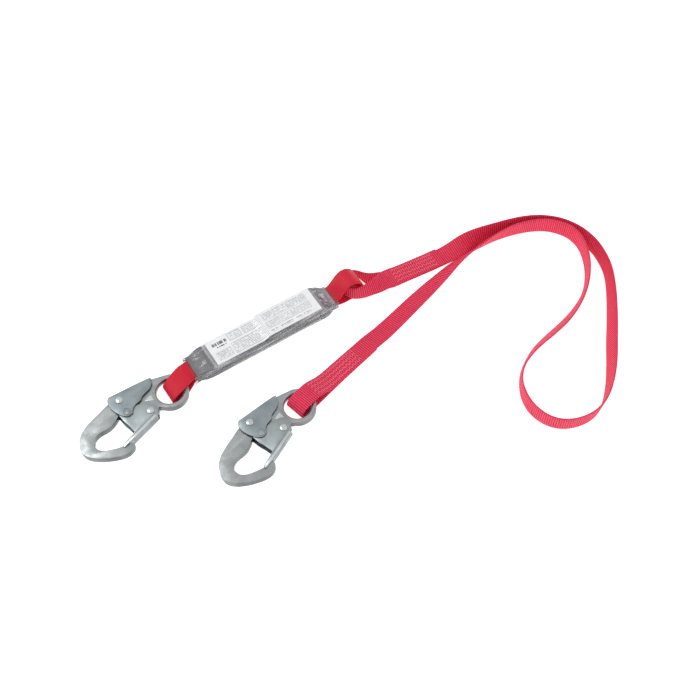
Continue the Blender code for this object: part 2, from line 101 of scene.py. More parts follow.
class Graph:
    """Short words for adding and joining the nodes of one shader tree."""

    def __init__(self, tree: bpy.types.NodeTree) -> None:
        """Keep the tree that nodes are added to."""
        self.tree = tree

    def node(self, kind: str, **settings: object) -> bpy.types.Node:
        """Add a node.

        Args:
            kind: Blender's node type name.
            settings: Attributes to set on the node.

        Returns:
            The new node.
        """
        made = self.tree.nodes.new(kind)
        for key, value in settings.items():
            setattr(made, key, value)
        return made

    def feed(self, socket: bpy.types.NodeSocket, value: object) -> None:
        """Join an output to the socket, or set the socket to a plain value."""
        if isinstance(value, bpy.types.NodeSocket):
            self.tree.links.new(value, socket)
        elif isinstance(value, (tuple, list)) and len(value) == 3 and socket.type == "RGBA":
            socket.default_value = (*value, 1.0)
        else:
            socket.default_value = value

    def maths(self, operation: str, first: object, second: object = 0.0, third: object = 0.5,
              clamp: bool = False) -> bpy.types.NodeSocket:
        """Add a Math node.

        Args:
            operation: Blender's name of the operation.
            first: First input, a value or a socket.
            second: Second input.
            third: Third input, for the operations that have one.
            clamp: Hold the result between 0 and 1.

        Returns:
            The result.
        """
        made = self.node("ShaderNodeMath", operation=operation, use_clamp=clamp)
        for socket, given in zip(made.inputs, (first, second, third)):
            self.feed(socket, given)
        return made.outputs[0]

    def blend(self, share: object, first: object, second: object, mode: str = "MIX") -> bpy.types.NodeSocket:
        """Mix two colours.

        Args:
            share: Share of the second colour, from 0 to 1.
            first: First colour.
            second: Second colour.
            mode: Blender's name of the way to mix.

        Returns:
            The mixed colour.
        """
        made = self.node("ShaderNodeMix", data_type="RGBA", blend_type=mode)
        self.feed(made.inputs[0], share)
        self.feed(made.inputs[6], first)
        self.feed(made.inputs[7], second)
        return made.outputs[2]

    def ramp(self, value: object, low: float, high: float, out_low: float = 0.0,
             out_high: float = 1.0) -> bpy.types.NodeSocket:
        """Spread a value from one range over another, held at the ends.

        Args:
            value: The value.
            low: Start of its range.
            high: End of its range.
            out_low: Result at the start.
            out_high: Result at the end.

        Returns:
            The spread value.
        """
        made = self.node("ShaderNodeMapRange", interpolation_type="SMOOTHSTEP")
        for socket, given in zip(made.inputs, (value, low, high, out_low, out_high)):
            self.feed(socket, given)
        return made.outputs[0]

    def clouds(self, vector: object, scale: object, detail: float = 3.0,
               roughness: float = 0.55) -> bpy.types.NodeSocket:
        """Add a noise texture.

        Args:
            vector: Coordinate that it is read at.
            scale: Cells to the coordinate's unit.
            detail: Layers of finer noise.
            roughness: Strength of the finer layers.

        Returns:
            The noise, from 0 to 1.
        """
        made = self.node("ShaderNodeTexNoise")
        self.feed(made.inputs["Vector"], vector)
        self.feed(made.inputs["Scale"], scale)
        made.inputs["Detail"].default_value = detail
        made.inputs["Roughness"].default_value = roughness
        return made.outputs["Fac"]

    def stretched(self, vector: object, scale: tuple[float, float, float]) -> bpy.types.NodeSocket:
        """Scale a coordinate unevenly with a Mapping node."""
        made = self.node("ShaderNodeMapping")
        self.feed(made.inputs["Vector"], vector)
        made.inputs["Scale"].default_value = scale
        return made.outputs[0]

    def position_and_slope(self) -> tuple[bpy.types.NodeSocket, bpy.types.NodeSocket]:
        """Return the position on the piece, and how far its surface faces up (1) or down (-1)."""
        coordinate = self.node("ShaderNodeTexCoord")
        split = self.node("ShaderNodeSeparateXYZ")
        self.feed(split.inputs[0], coordinate.outputs["Normal"])
        return coordinate.outputs["Object"], split.outputs[2]

    def group(self, shared: bpy.types.NodeTree, **values: object) -> bpy.types.Node:
        """Place a shared node group with its own input values."""
        made = self.node("ShaderNodeGroup", node_tree=shared)
        for key, value in values.items():
            self.feed(made.inputs[key.replace("_", " ")], value)
        return made


def new_group(name: str, inputs: Sequence[tuple[str, str]], outputs: Sequence[tuple[str, str]]
              ) -> tuple[Graph, bpy.types.Node, bpy.types.Node]:
    """Start a shader node group.

    Args:
        name: Name of the group.
        inputs: Name and socket kind of each input.
        outputs: Name and socket kind of each output.

    Returns:
        The group's graph, its input node and its output node.
    """
    tree = bpy.data.node_groups.new(name, "ShaderNodeTree")
    for label, kind in inputs:
        tree.interface.new_socket(label, in_out="INPUT", socket_type=kind)
    for label, kind in outputs:
        tree.interface.new_socket(label, in_out="OUTPUT", socket_type=kind)
    graph = Graph(tree)
    return graph, graph.node("NodeGroupInput"), graph.node("NodeGroupOutput")


FLOAT, COLOUR, VECTOR = "NodeSocketFloat", "NodeSocketColor", "NodeSocketVector"


class SharedEffects:
    """Node groups that several finishes use, each built once."""

    def __init__(self) -> None:
        """Build the groups."""
        self.weave = self._weave()
        self.wear = self._wear()
        self.print_block = self._print_block()

    @staticmethod
    def _weave() -> bpy.types.NodeTree:
        """Ribs across a web, broken into threads, from a UV in metres. Its Shade output is painted shade, darker in the
        valleys between ribs and threads, mixed with random patches.

        Returns:
            The node group, with Height, Shade and Fleck outputs.
        """
        graph, given, out = new_group(
            "woven_ribs", [("UV", VECTOR), ("Rib Pitch", FLOAT), ("Thread Pitch", FLOAT)],
            [("Height", FLOAT), ("Shade", FLOAT), ("Fleck", FLOAT)])
        rib_share, shade_share, patch_share = 0.36, 0.88, 0.2
        fleck_stretch, patch_scale = (900.0, 520.0, 1.0), 60.0
        split = graph.node("ShaderNodeSeparateXYZ")
        graph.feed(split.inputs[0], given.outputs["UV"])
        row = graph.maths("DIVIDE", split.outputs[1], given.outputs["Rib Pitch"])
        column = graph.maths("DIVIDE", split.outputs[0], given.outputs["Thread Pitch"])
        step = graph.maths("MULTIPLY", graph.maths("FLOOR", row), 0.5)
        rib = graph.maths("COSINE", graph.maths("MULTIPLY", row, 2 * math.pi))
        thread = graph.maths("SINE", graph.maths("MULTIPLY", graph.maths("ADD", column, step), 2 * math.pi))
        rib_height = graph.maths("MULTIPLY_ADD", rib, rib_share, 0.5)
        height = graph.maths("MULTIPLY_ADD", thread, 0.5 - rib_share, rib_height)
        fleck = graph.clouds(graph.stretched(given.outputs["UV"], fleck_stretch), 1.0, 2.0, 0.7)
        patch = graph.clouds(given.outputs["UV"], patch_scale, 2.0)
        shade = graph.maths("ADD", graph.maths("MULTIPLY", graph.ramp(height, 0.15, 0.75), shade_share),
                            graph.maths("MULTIPLY", patch, patch_share), clamp=True)
        graph.feed(out.inputs["Height"], height)
        graph.feed(out.inputs["Shade"], shade)
        graph.feed(out.inputs["Fleck"], graph.ramp(fleck, 0.55, 0.75))
        return graph.tree

    @staticmethod
    def _wear() -> bpy.types.NodeTree:
        """Uneven plating and handling marks from a position in metres.

        Returns:
            The node group, with Patch, Scratch and Grain outputs.
        """
        graph, given, out = new_group("plating_wear", [("Position", VECTOR), ("Patch Scale", FLOAT)],
                                      [("Patch", FLOAT), ("Scratch", FLOAT), ("Grain", FLOAT)])
        scratch_stretch, grain_scale = (90.0, 1500.0, 900.0), 2600.0
        patch = graph.clouds(given.outputs["Position"], given.outputs["Patch Scale"], 4.0, 0.5)
        lines = graph.clouds(graph.stretched(given.outputs["Position"], scratch_stretch), 1.0, 3.0, 0.65)
        grain = graph.clouds(given.outputs["Position"], grain_scale, 2.0)
        graph.feed(out.inputs["Patch"], graph.ramp(patch, 0.35, 0.65))
        graph.feed(out.inputs["Scratch"], graph.ramp(lines, 0.60, 0.72))
        graph.feed(out.inputs["Grain"], grain)
        return graph.tree

    @staticmethod
    def _print_block() -> bpy.types.NodeTree:
        """A block of plain printed dashes in rows, or a frame line round it.

        Returns:
            The node group, with an Ink output from 0 to 1.
        """
        graph, given, out = new_group(
            "print_block", [("UV", VECTOR), ("Left", FLOAT), ("Right", FLOAT), ("Low", FLOAT), ("High", FLOAT),
                            ("Rows", FLOAT), ("Text", FLOAT), ("Border", FLOAT)], [("Ink", FLOAT)])
        split = graph.node("ShaderNodeSeparateXYZ")
        graph.feed(split.inputs[0], given.outputs["UV"])

        u, v = split.outputs[0], split.outputs[1]
        left, right = given.outputs["Left"], given.outputs["Right"]
        low, high = given.outputs["Low"], given.outputs["High"]

        def between(value: object, start: object, end: object, inset: float) -> bpy.types.NodeSocket:
            """Return 1 where the value lies between two ends drawn in by an inset, else 0."""
            over = graph.maths("GREATER_THAN", value, graph.maths("ADD", start, inset))
            under = graph.maths("LESS_THAN", value, graph.maths("SUBTRACT", end, inset))
            return graph.maths("MULTIPLY", over, under)

        def box(side_inset: float, end_inset: float) -> bpy.types.NodeSocket:
            """Return 1 inside the block drawn in by two insets, else 0."""
            return graph.maths("MULTIPLY", between(u, left, right, side_inset), between(v, low, high, end_inset))

        border_width, row_fill, words_per_metre, row_shift = 0.45 * MM, 0.52, 520.0, 7.3
        inside = box(0.8 * MM, 0.6 * MM)
        outer, inner = box(0.0, 0.0), box(border_width, border_width)
        rows = graph.maths("MULTIPLY", graph.maths("DIVIDE", graph.maths("SUBTRACT", v, low),
                                                   graph.maths("SUBTRACT", high, low)), given.outputs["Rows"])
        line = graph.maths("LESS_THAN", graph.maths("FRACT", rows), row_fill)
        word_place = graph.node("ShaderNodeCombineXYZ")
        graph.feed(word_place.inputs[0], graph.maths("MULTIPLY", u, words_per_metre))
        graph.feed(word_place.inputs[1], graph.maths("MULTIPLY", graph.maths("FLOOR", rows), row_shift))
        words = graph.ramp(graph.clouds(word_place.outputs[0], 1.0, 1.0), 0.40, 0.52)
        dashes = graph.maths("MULTIPLY", graph.maths("MULTIPLY", inside, line), words)
        frame_line = graph.maths("SUBTRACT", outer, inner)
        ink = graph.maths("MAXIMUM", graph.maths("MULTIPLY", dashes, given.outputs["Text"]),
                          graph.maths("MULTIPLY", frame_line, given.outputs["Border"]))
        graph.feed(out.inputs["Ink"], ink)
        return graph.tree


def start_material(name: str) -> tuple[bpy.types.Material, Graph, bpy.types.Node]:
    """Make a material with an empty Principled shader.

    Args:
        name: Name of the material.

    Returns:
        The material, its graph and its Principled node.
    """
    made = bpy.data.materials.new(name)
    made.use_nodes = True
    return made, Graph(made.node_tree), made.node_tree.nodes["Principled BSDF"]


def add_bump(graph: Graph, shader: bpy.types.Node, height: object, strength: float, distance: float) -> None:
    """Feed a height into the shader's normal through a Bump node.

    Args:
        graph: The material's graph.
        shader: Its Principled node.
        height: The height, from 0 to 1.
        strength: Strength of the relief.
        distance: Depth of the relief in metres.
    """
    bump = graph.node("ShaderNodeBump")
    bump.inputs["Strength"].default_value = strength
    bump.inputs["Distance"].default_value = distance
    graph.feed(bump.inputs["Height"], height)
    graph.feed(shader.inputs["Normal"], bump.outputs[0])


# ---------------------------------------------------------------- finishes


@dataclass(frozen=True)
class WebbingFinish:
    """Woven webbing with ribs across it, read from a UV map in metres, with painted shade in the weave's valleys."""

    name: str
    valley_shade: Colour
    face: Colour
    glint: Colour
    rib_pitch: float = 1.35 * MM
    thread_pitch: float = 1.1 * MM
    relief: float = 0.35 * MM
    glint_share: float = 0.35
    roughness: float = 0.62
    sheen: float = 0.10

    def build(self, shared: SharedEffects) -> bpy.types.Material:
        """Build the material.

        Args:
            shared: The shared node groups.

        Returns:
            The finished material.
        """
        made, graph, shader = start_material(self.name)
        uv = graph.node("ShaderNodeUVMap", uv_map="web").outputs[0]
        weave = graph.group(shared.weave, UV=uv, Rib_Pitch=self.rib_pitch, Thread_Pitch=self.thread_pitch)
        # Painted shade: the low parts of the weave take the valley shade colour.
        colour = graph.blend(weave.outputs["Shade"], self.valley_shade, self.face)
        fleck = graph.maths("MULTIPLY", weave.outputs["Fleck"], self.glint_share)
        graph.feed(shader.inputs["Base Color"], graph.blend(fleck, colour, self.glint))
        shader.inputs["Roughness"].default_value = self.roughness
        shader.inputs["Specular IOR Level"].default_value = 0.35
        shader.inputs["Sheen Weight"].default_value = self.sheen
        shader.inputs["Sheen Roughness"].default_value = 0.4
        shader.inputs["Sheen Tint"].default_value = (*self.glint, 1.0)
        add_bump(graph, shader, weave.outputs["Height"], 0.8, self.relief)
        return made


@dataclass(frozen=True)
class SteelFinish:
    """Zinc plated steel with uneven plating and fine handling marks."""

    name: str
    bright: Colour
    dull: Colour
    roughness: float = 0.33
    metallic: float = 0.92
    wall_shade: float = 0.55

    def build(self, shared: SharedEffects) -> bpy.types.Material:
        """Build the material.

        Args:
            shared: The shared node groups.

        Returns:
            The finished material.
        """
        made, graph, shader = start_material(self.name)
        place, heading = graph.position_and_slope()
        wear = graph.group(shared.wear, Position=place, Patch_Scale=70.0)
        base = graph.blend(wear.outputs["Patch"], self.dull, self.bright)
        marks = graph.maths("MULTIPLY", wear.outputs["Scratch"], 0.25)
        wall = graph.ramp(graph.maths("ABSOLUTE", heading), 0.2, 0.55, self.wall_shade, 1.0)
        graph.feed(shader.inputs["Base Color"],
                   graph.blend(1.0, graph.blend(marks, base, self.bright), wall, "MULTIPLY"))
        rough = graph.ramp(wear.outputs["Patch"], 0.0, 1.0, self.roughness + 0.08, self.roughness - 0.04)
        graph.feed(shader.inputs["Roughness"], rough)
        shader.inputs["Metallic"].default_value = self.metallic
        add_bump(graph, shader, wear.outputs["Grain"], 0.10, 0.03 * MM)
        return made


@dataclass(frozen=True)
class FilmFinish:
    """Clear shrink film: see-through and glossy, with painted highlights on its creases and streaks, and painted shade
    on its sides and corners.
    """

    name: str
    tint: Colour
    clear_share: float
    crease_highlight_share: float
    side_shade_share: float = 0.75
    taper_from: float = 66.0 * MM
    mouth_from: float = 82.0 * MM
    crease_highlight_colour: Colour = (0.86, 0.87, 0.88)
    streak_stretch: tuple[float, float, float] = (13.0, 210.0, 330.0)
    crumple_stretch: tuple[float, float, float] = (40.0, 120.0, 95.0)
    rim_share: float = 0.25

    def build(self, shared: SharedEffects) -> bpy.types.Material:
        """Build the material.

        Args:
            shared: The shared node groups, which this finish has no use for.

        Returns:
            The finished material.
        """
        made, graph, shader = start_material(self.name)
        place, heading = graph.position_and_slope()
        split = graph.node("ShaderNodeSeparateXYZ")
        graph.feed(split.inputs[0], place)
        from_middle = graph.maths("ABSOLUTE", split.outputs[0])
        ends = graph.ramp(from_middle, self.taper_from, self.taper_from + 8 * MM)
        long_streaks = graph.clouds(graph.stretched(place, self.streak_stretch), 1.0, 3.0, 0.6)
        crumple = graph.clouds(graph.stretched(place, self.crumple_stretch), 1.0, 4.0, 0.65)
        # Painted highlights: pale streaks along the film and pale crumpled folds towards its ends.
        streak_highlight = graph.maths("MULTIPLY", graph.ramp(long_streaks, 0.53, 0.66), 0.8)
        fold = graph.maths("MULTIPLY", graph.ramp(crumple, 0.54, 0.66), ends)
        mouth = graph.ramp(from_middle, self.mouth_from, self.mouth_from + 6 * MM, 1.0, 0.15)
        pale = graph.maths("MULTIPLY", graph.maths("MAXIMUM", streak_highlight, fold), mouth)
        # Painted shade: dark bands along the film's sides, and a darker line on the rounded corner where its top turns
        # down.
        side = graph.ramp(graph.maths("ABSOLUTE", heading), 0.3, 0.6, 1.0, 0.0)
        side_shade_band = graph.maths("MULTIPLY", side, graph.ramp(long_streaks, 0.42, 0.50, 1.0, 0.0))
        corner = graph.maths("MULTIPLY", graph.ramp(heading, 0.25, 0.5), graph.ramp(heading, 0.8, 0.95, 0.8, 0.0))
        painted_side_shade = graph.maths("MULTIPLY", graph.maths("MAXIMUM", side_shade_band, corner), self.side_shade_share)
        facing = graph.node("ShaderNodeLayerWeight")
        facing.inputs["Blend"].default_value = 0.35
        rim = graph.maths("MULTIPLY", facing.outputs["Facing"], self.rim_share)
        share = graph.maths("ADD", graph.maths("MAXIMUM", graph.maths("MULTIPLY", pale, self.crease_highlight_share), painted_side_shade),
                            rim)
        graph.feed(shader.inputs["Alpha"], graph.maths("ADD", share, self.clear_share, clamp=True))
        graph.feed(shader.inputs["Base Color"], graph.blend(pale, self.tint, self.crease_highlight_colour))
        shader.inputs["Roughness"].default_value = 0.12
        shader.inputs["Specular IOR Level"].default_value = 0.8
        height = graph.maths("ADD", graph.maths("MULTIPLY", long_streaks, 0.5), graph.maths("MULTIPLY", crumple, ends))
        add_bump(graph, shader, height, 0.35, 0.8 * MM)
        return made


@dataclass(frozen=True)
class PrintedBlock:
    """One block of the print on a label, in millimetres along and across the label."""

    left: float
    right: float
    low: float
    high: float
    rows: float
    text: float = 1.0
    border: float = 0.0


@dataclass(frozen=True)
class LabelFinish:
    """White label stock with plain grey dashes and boxes in place of its print."""

    name: str
    paper: Colour
    ink: Colour
    blocks: tuple[PrintedBlock, ...]

    def build(self, shared: SharedEffects) -> bpy.types.Material:
        """Build the material.

        Args:
            shared: The shared node groups.

        Returns:
            The finished material.
        """
        made, graph, shader = start_material(self.name)
        uv = graph.node("ShaderNodeUVMap", uv_map="web").outputs[0]
        ink: object = 0.0
        for block in self.blocks:
            placed = graph.group(shared.print_block, UV=uv, Left=block.left * MM, Right=block.right * MM,
                                 Low=block.low * MM, High=block.high * MM, Rows=block.rows, Text=block.text,
                                 Border=block.border)
            ink = graph.maths("MAXIMUM", ink, placed.outputs["Ink"])
        cloud = graph.clouds(uv, 90.0, 3.0)
        paper = graph.blend(graph.ramp(cloud, 0.35, 0.7), self.paper, tuple(0.93 * c for c in self.paper))
        graph.feed(shader.inputs["Base Color"], graph.blend(ink, paper, self.ink))
        shader.inputs["Roughness"].default_value = 0.38
        shader.inputs["Coat Weight"].default_value = 0.35
        shader.inputs["Coat Roughness"].default_value = 0.08
        add_bump(graph, shader, cloud, 0.25, 0.6 * MM)
        return made


RED_LEG = WebbingFinish("red_leg_webbing", (0.27, 0.002, 0.012), (1.0, 0.042, 0.125), (1.0, 0.28, 0.42),
                        rib_pitch=2.5 * MM, thread_pitch=1.6 * MM)
RED_LOOP = WebbingFinish("red_loop_webbing", (0.45, 0.003, 0.014), (0.76, 0.008, 0.040), (0.90, 0.05, 0.11),
                         rib_pitch=0.9 * MM, thread_pitch=0.8 * MM, relief=0.12 * MM, glint_share=0.12,
                         roughness=0.55, sheen=0.04)
RED_THREAD = WebbingFinish("red_thread", (0.80, 0.10, 0.17), (1.0, 0.27, 0.36), (1.0, 0.55, 0.62),
                           rib_pitch=0.6 * MM, relief=0.1 * MM, roughness=0.45)
GREY_TEAR = WebbingFinish("grey_tear_webbing", (0.36, 0.36, 0.37), (0.66, 0.67, 0.69), (0.78, 0.78, 0.80),
                          rib_pitch=1.6 * MM, relief=0.08 * MM, glint_share=0.15)
DARK_WRAP = WebbingFinish("dark_wrap_webbing", (0.13, 0.13, 0.14), (0.27, 0.27, 0.285), (0.45, 0.45, 0.47),
                          rib_pitch=1.4 * MM, relief=0.1 * MM, roughness=0.5)
PALE_WRAP = WebbingFinish("pale_wrap_webbing", (0.30, 0.295, 0.325), (0.46, 0.45, 0.49), (0.62, 0.61, 0.65),
                          rib_pitch=1.4 * MM, relief=0.1 * MM, roughness=0.5)
STEEL_FRAME = SteelFinish("zinc_frame_steel", (0.44, 0.465, 0.465), (0.32, 0.345, 0.35), roughness=0.29,
                          wall_shade=0.36)
STEEL_LEVER = SteelFinish("zinc_lever_steel", (0.34, 0.39, 0.41), (0.25, 0.29, 0.31), roughness=0.36)
STEEL_GATE = SteelFinish("zinc_gate_steel", (0.42, 0.47, 0.48), (0.32, 0.36, 0.37), roughness=0.34)
# Brighter steel for the rivets, also a painted highlight on the frame's rib and the gate's bead.
STEEL_RIVET_AND_HIGHLIGHT = SteelFinish("rivet_and_highlight_steel", (0.80, 0.82, 0.82), (0.60, 0.63, 0.63), roughness=0.15,
                          wall_shade=0.45)
STEEL_SPRING = SteelFinish("drawn_spring_steel", (0.50, 0.51, 0.52), (0.36, 0.37, 0.38), roughness=0.3,
                           wall_shade=1.0)
CLEAR_FILM = FilmFinish("clear_shrink_film", (0.13, 0.133, 0.14), 0.04, 0.46)
LABEL_MAIN = LabelFinish("main_label_print", (0.88, 0.885, 0.90), (0.13, 0.14, 0.16), (
    PrintedBlock(5, 25, 5.8, 11.0, 0.5),
    PrintedBlock(9, 23, 2.4, 5.2, 0.5),
    PrintedBlock(5, 24, -13, -2, 6.0, 0.6, 0.4),
    PrintedBlock(27, 43, 4, 14, 6.0, 0.5, 0.8),
    PrintedBlock(26, 66, -14, 1, 8.0, 0.55, 0.65),
    PrintedBlock(46, 66, 4, 14, 5.0, 0.5, 0.8),
    PrintedBlock(67.0, 67.7, -16.4, 16.4, 1.0, 0.0, 0.6),
    PrintedBlock(0.0, 69.4, -16.5, 16.5, 1.0, 0.0, 0.55)))
LABEL_NOTES = LabelFinish("notes_label_print", (0.88, 0.885, 0.90), (0.18, 0.19, 0.21), (
    PrintedBlock(3, 60, 3, 13.5, 6.0, 0.6, 0.35),
    PrintedBlock(3, 60, -8, 1.5, 5.0, 0.5, 0.55),
    PrintedBlock(3, 13, -14, -9.5, 2.0, 0.8, 0.0),
    PrintedBlock(16, 34, -14, -9.5, 2.0, 0.8, 0.0),
    PrintedBlock(36, 58, -14, -9.5, 2.0, 0.7, 0.0),
    PrintedBlock(0.0, 68.1, -16.5, 16.5, 1.0, 0.0, 0.55)))


class Finishes:
    """Builds each finish the first time it is asked for."""

    def __init__(self) -> None:
        """Build the shared node groups."""
        self.shared = SharedEffects()
        self.made: dict[str, bpy.types.Material] = {}

    def get(self, finish: WebbingFinish | SteelFinish | FilmFinish | LabelFinish) -> bpy.types.Material:
        """Return the material of a finish."""
        if finish.name not in self.made:
            self.made[finish.name] = finish.build(self.shared)
        return self.made[finish.name]


# ---------------------------------------------------------------- shape tools


def catmull_rom(before: Vector, first: Vector, second: Vector, after: Vector, t: float) -> Vector:
    """Return the point at share t of the curve that runs from the first point to the second."""
    return 0.5 * (2 * first + (second - before) * t
                  + (2 * before - 5 * first + 4 * second - after) * t * t
                  + (3 * first - before - 3 * second + after) * t ** 3)


def heading(points: Sequence[Vector], i: int) -> Vector:
    """Return the unit direction of a line of points at point i."""
    return (points[min(i + 1, len(points) - 1)] - points[max(i - 1, 0)]).normalized()


def smooth_through(points: Sequence[Sequence[float]], per_span: int) -> list[Vector]:
    """Run a Catmull-Rom curve through points of any length.

    Args:
        points: The points to pass through.
        per_span: Samples between neighbouring points.

    Returns:
        The samples, the last point included.
    """
    knots = [Vector(p) for p in points]
    knots = [2 * knots[0] - knots[1], *knots, 2 * knots[-1] - knots[-2]]
    out: list[Vector] = []
    for i in range(1, len(knots) - 2):
        out += [catmull_rom(*knots[i - 1:i + 3], k / per_span) for k in range(per_span)]
    out.append(knots[-2])
    return out


@dataclass
class WebPath:
    """Middle line of a web, with the direction of its width and its width in metres at every step."""

    points: list[Vector]
    across: list[Vector]
    widths: list[float] = field(default_factory=list)
    lengths: list[float] = field(default_factory=list)

    def __post_init__(self) -> None:
        """Measure the length along the path at every step, and make the width 24 mm where none is given."""
        self.widths = self.widths or [WEB_WIDTH] * len(self.points)
        self.lengths = [0.0]
        for before, after in zip(self.points, self.points[1:]):
            self.lengths.append(self.lengths[-1] + (after - before).length)

    def evenly(self, step: float) -> WebPath:
        """Return the same path with steps of about the given length."""
        total = self.lengths[-1]
        count = max(2, round(total / step))
        points, across, widths, place = [], [], [], 0
        for i in range(count + 1):
            want = total * i / count
            while place < len(self.lengths) - 2 and self.lengths[place + 1] < want:
                place += 1
            span = self.lengths[place + 1] - self.lengths[place]
            t = (want - self.lengths[place]) / span
            points.append(self.points[place].lerp(self.points[place + 1], t))
            across.append(self.across[place].lerp(self.across[place + 1], t).normalized())
            widths.append(self.widths[place] * (1 - t) + self.widths[place + 1] * t)
        return WebPath(points, across, widths)

    def part(self, first: int, last: int) -> WebPath:
        """Return the path from one step to another, both included."""
        return WebPath(self.points[first:last + 1], self.across[first:last + 1], self.widths[first:last + 1])

    def frame(self, i: int) -> tuple[Vector, Vector, Vector]:
        """Return the heading, the width direction and the face normal at a step."""
        ahead = heading(self.points, i)
        across = (self.across[i] - ahead * self.across[i].dot(ahead)).normalized()
        return ahead, across, ahead.cross(across)


def rolled_path(stations: Sequence[Sequence[float]], per_span: int) -> WebPath:
    """Path of a web whose left edge is lifted by a roll.

    Args:
        stations: x, y, z in millimetres, roll in degrees and width in millimetres.
        per_span: Samples between stations.

    Returns:
        The path in metres.
    """
    samples = smooth_through(stations, per_span)
    points = [Vector(s[:3]) * MM for s in samples]
    across = []
    for i, sample in enumerate(samples):
        ahead = heading(points, i)
        left = Vector((-ahead.y, ahead.x, 0.0)).normalized()
        roll = math.radians(sample[3])
        across.append(left * math.cos(roll) + ahead.cross(left) * math.sin(roll))
    return WebPath(points, across, [sample[4] * MM for sample in samples])


def finish_mesh(name: str, bm: bmesh.types.BMesh, material: bpy.types.Material, smooth_angle: float = 40.0,
                recalculate: bool = True) -> bpy.types.Object:
    """Turn a bmesh into a piece with its material.

    Args:
        name: Name of the piece.
        bm: The mesh, freed here.
        material: Its material.
        smooth_angle: Edges sharper than this many degrees stay sharp.
        recalculate: Turn all faces outwards first.

    Returns:
        The new object, at the origin.
    """
    if recalculate:
        bmesh.ops.recalc_face_normals(bm, faces=bm.faces)
    mesh = bpy.data.meshes.new(name)
    bm.to_mesh(mesh)
    bm.free()
    mesh.materials.append(material)
    mesh.shade_smooth()
    mesh.set_sharp_from_angle(angle=math.radians(smooth_angle))
    made = bpy.data.objects.new(name, mesh)
    bpy.context.scene.collection.objects.link(made)
    return made


def grid_tube(bm: bmesh.types.BMesh, rings: int, around: int, place: Callable[[int, int], Vector],
              mark: Callable[[int, int], tuple[float, float]] | None = None, closed_ends: bool = True) -> None:
    """Bend a flat grid into a closed tube.

    Args:
        bm: The mesh to add to.
        rings: Number of rings along the tube.
        around: Number of points round each ring.
        place: Position of point k of ring i.
        mark: UV of point k of ring i, for the "web" map.
        closed_ends: Fill both ends.
    """
    bmesh.ops.create_grid(bm, x_segments=rings - 1, y_segments=around, size=0.5)
    cells = {}
    for vert in bm.verts:
        cells[vert] = (round((vert.co.x + 0.5) * (rings - 1)), round((vert.co.y + 0.5) * around))
    if mark is not None:
        layer = bm.loops.layers.uv.new("web")
        for face in bm.faces:
            for loop in face.loops:
                loop[layer].uv = mark(*cells[loop.vert])
    for vert, (i, k) in cells.items():
        vert.co = place(i, k % around)
    bmesh.ops.remove_doubles(bm, verts=bm.verts, dist=1e-7)
    if closed_ends:
        bmesh.ops.holes_fill(bm, edges=[e for e in bm.edges if e.is_boundary])


def web_section(width: float, thick: float, flat_points: int = 5) -> list[tuple[float, float]]:
    """Rounded-edge section of a web, counterclockwise from its lower left, in metres.

    Args:
        width: Full width.
        thick: Full thickness.
        flat_points: Points on each flat side.

    Returns:
        The (across, up) points.
    """
    half, rise = width / 2, thick / 2
    flat = half - rise
    points = [(-flat + 2 * flat * k / (flat_points - 1), -rise) for k in range(flat_points)]
    points += [(flat + rise * math.cos(math.radians(a)), rise * math.sin(math.radians(a))) for a in (-45, 0, 45)]
    points += [(flat - 2 * flat * k / (flat_points - 1), rise) for k in range(flat_points)]
    points += [(-flat - rise * math.cos(math.radians(a)), rise * math.sin(math.radians(a))) for a in (45, 0, -45)]
    return points


def web_piece(name: str, path: WebPath, thick: float, material: bpy.types.Material,
              step: float = 0.5 * MM, rib: float = 0.0, pitch: float = 2.5 * MM) -> bpy.types.Object:
    """Make a length of webbing along a path.

    Args:
        name: Name of the piece.
        path: Its middle line, with its widths.
        thick: Full thickness.
        material: Its material.
        step: Distance between rings.
        rib: Depth of the valleys between the ribs on each face.
        pitch: Distance between ribs.

    Returns:
        The new piece.
    """
    fine = path.evenly(step)
    width = max(fine.widths)
    section = web_section(width, thick)
    frames = [fine.frame(i) for i in range(len(fine.points))]

    def place(i: int, k: int) -> Vector:
        """Return point k of ring i."""
        across, up = section[k]
        across *= fine.widths[i] / width
        valley = 0.5 - 0.5 * math.cos(2 * math.pi * fine.lengths[i] / pitch)
        drawn = 1.0 - 2 * rib / thick * valley
        edge = 1.0 - 0.5 * rib / width * valley
        ragged = 1.0 + 0.004 * noise.noise(Vector((fine.lengths[i] * 300.0, 1.0 if across > 0 else 7.0, 0.0)))
        return fine.points[i] + frames[i][1] * (across * edge * ragged) + frames[i][2] * (up * drawn)

    def mark(i: int, k: int) -> tuple[float, float]:
        """Return the UV of point k of ring i, in metres."""
        return section[k % len(section)][0], fine.lengths[i]

    bm = bmesh.new()
    grid_tube(bm, len(fine.points), len(section), place, mark)
    return finish_mesh(name, bm, material, 70.0)


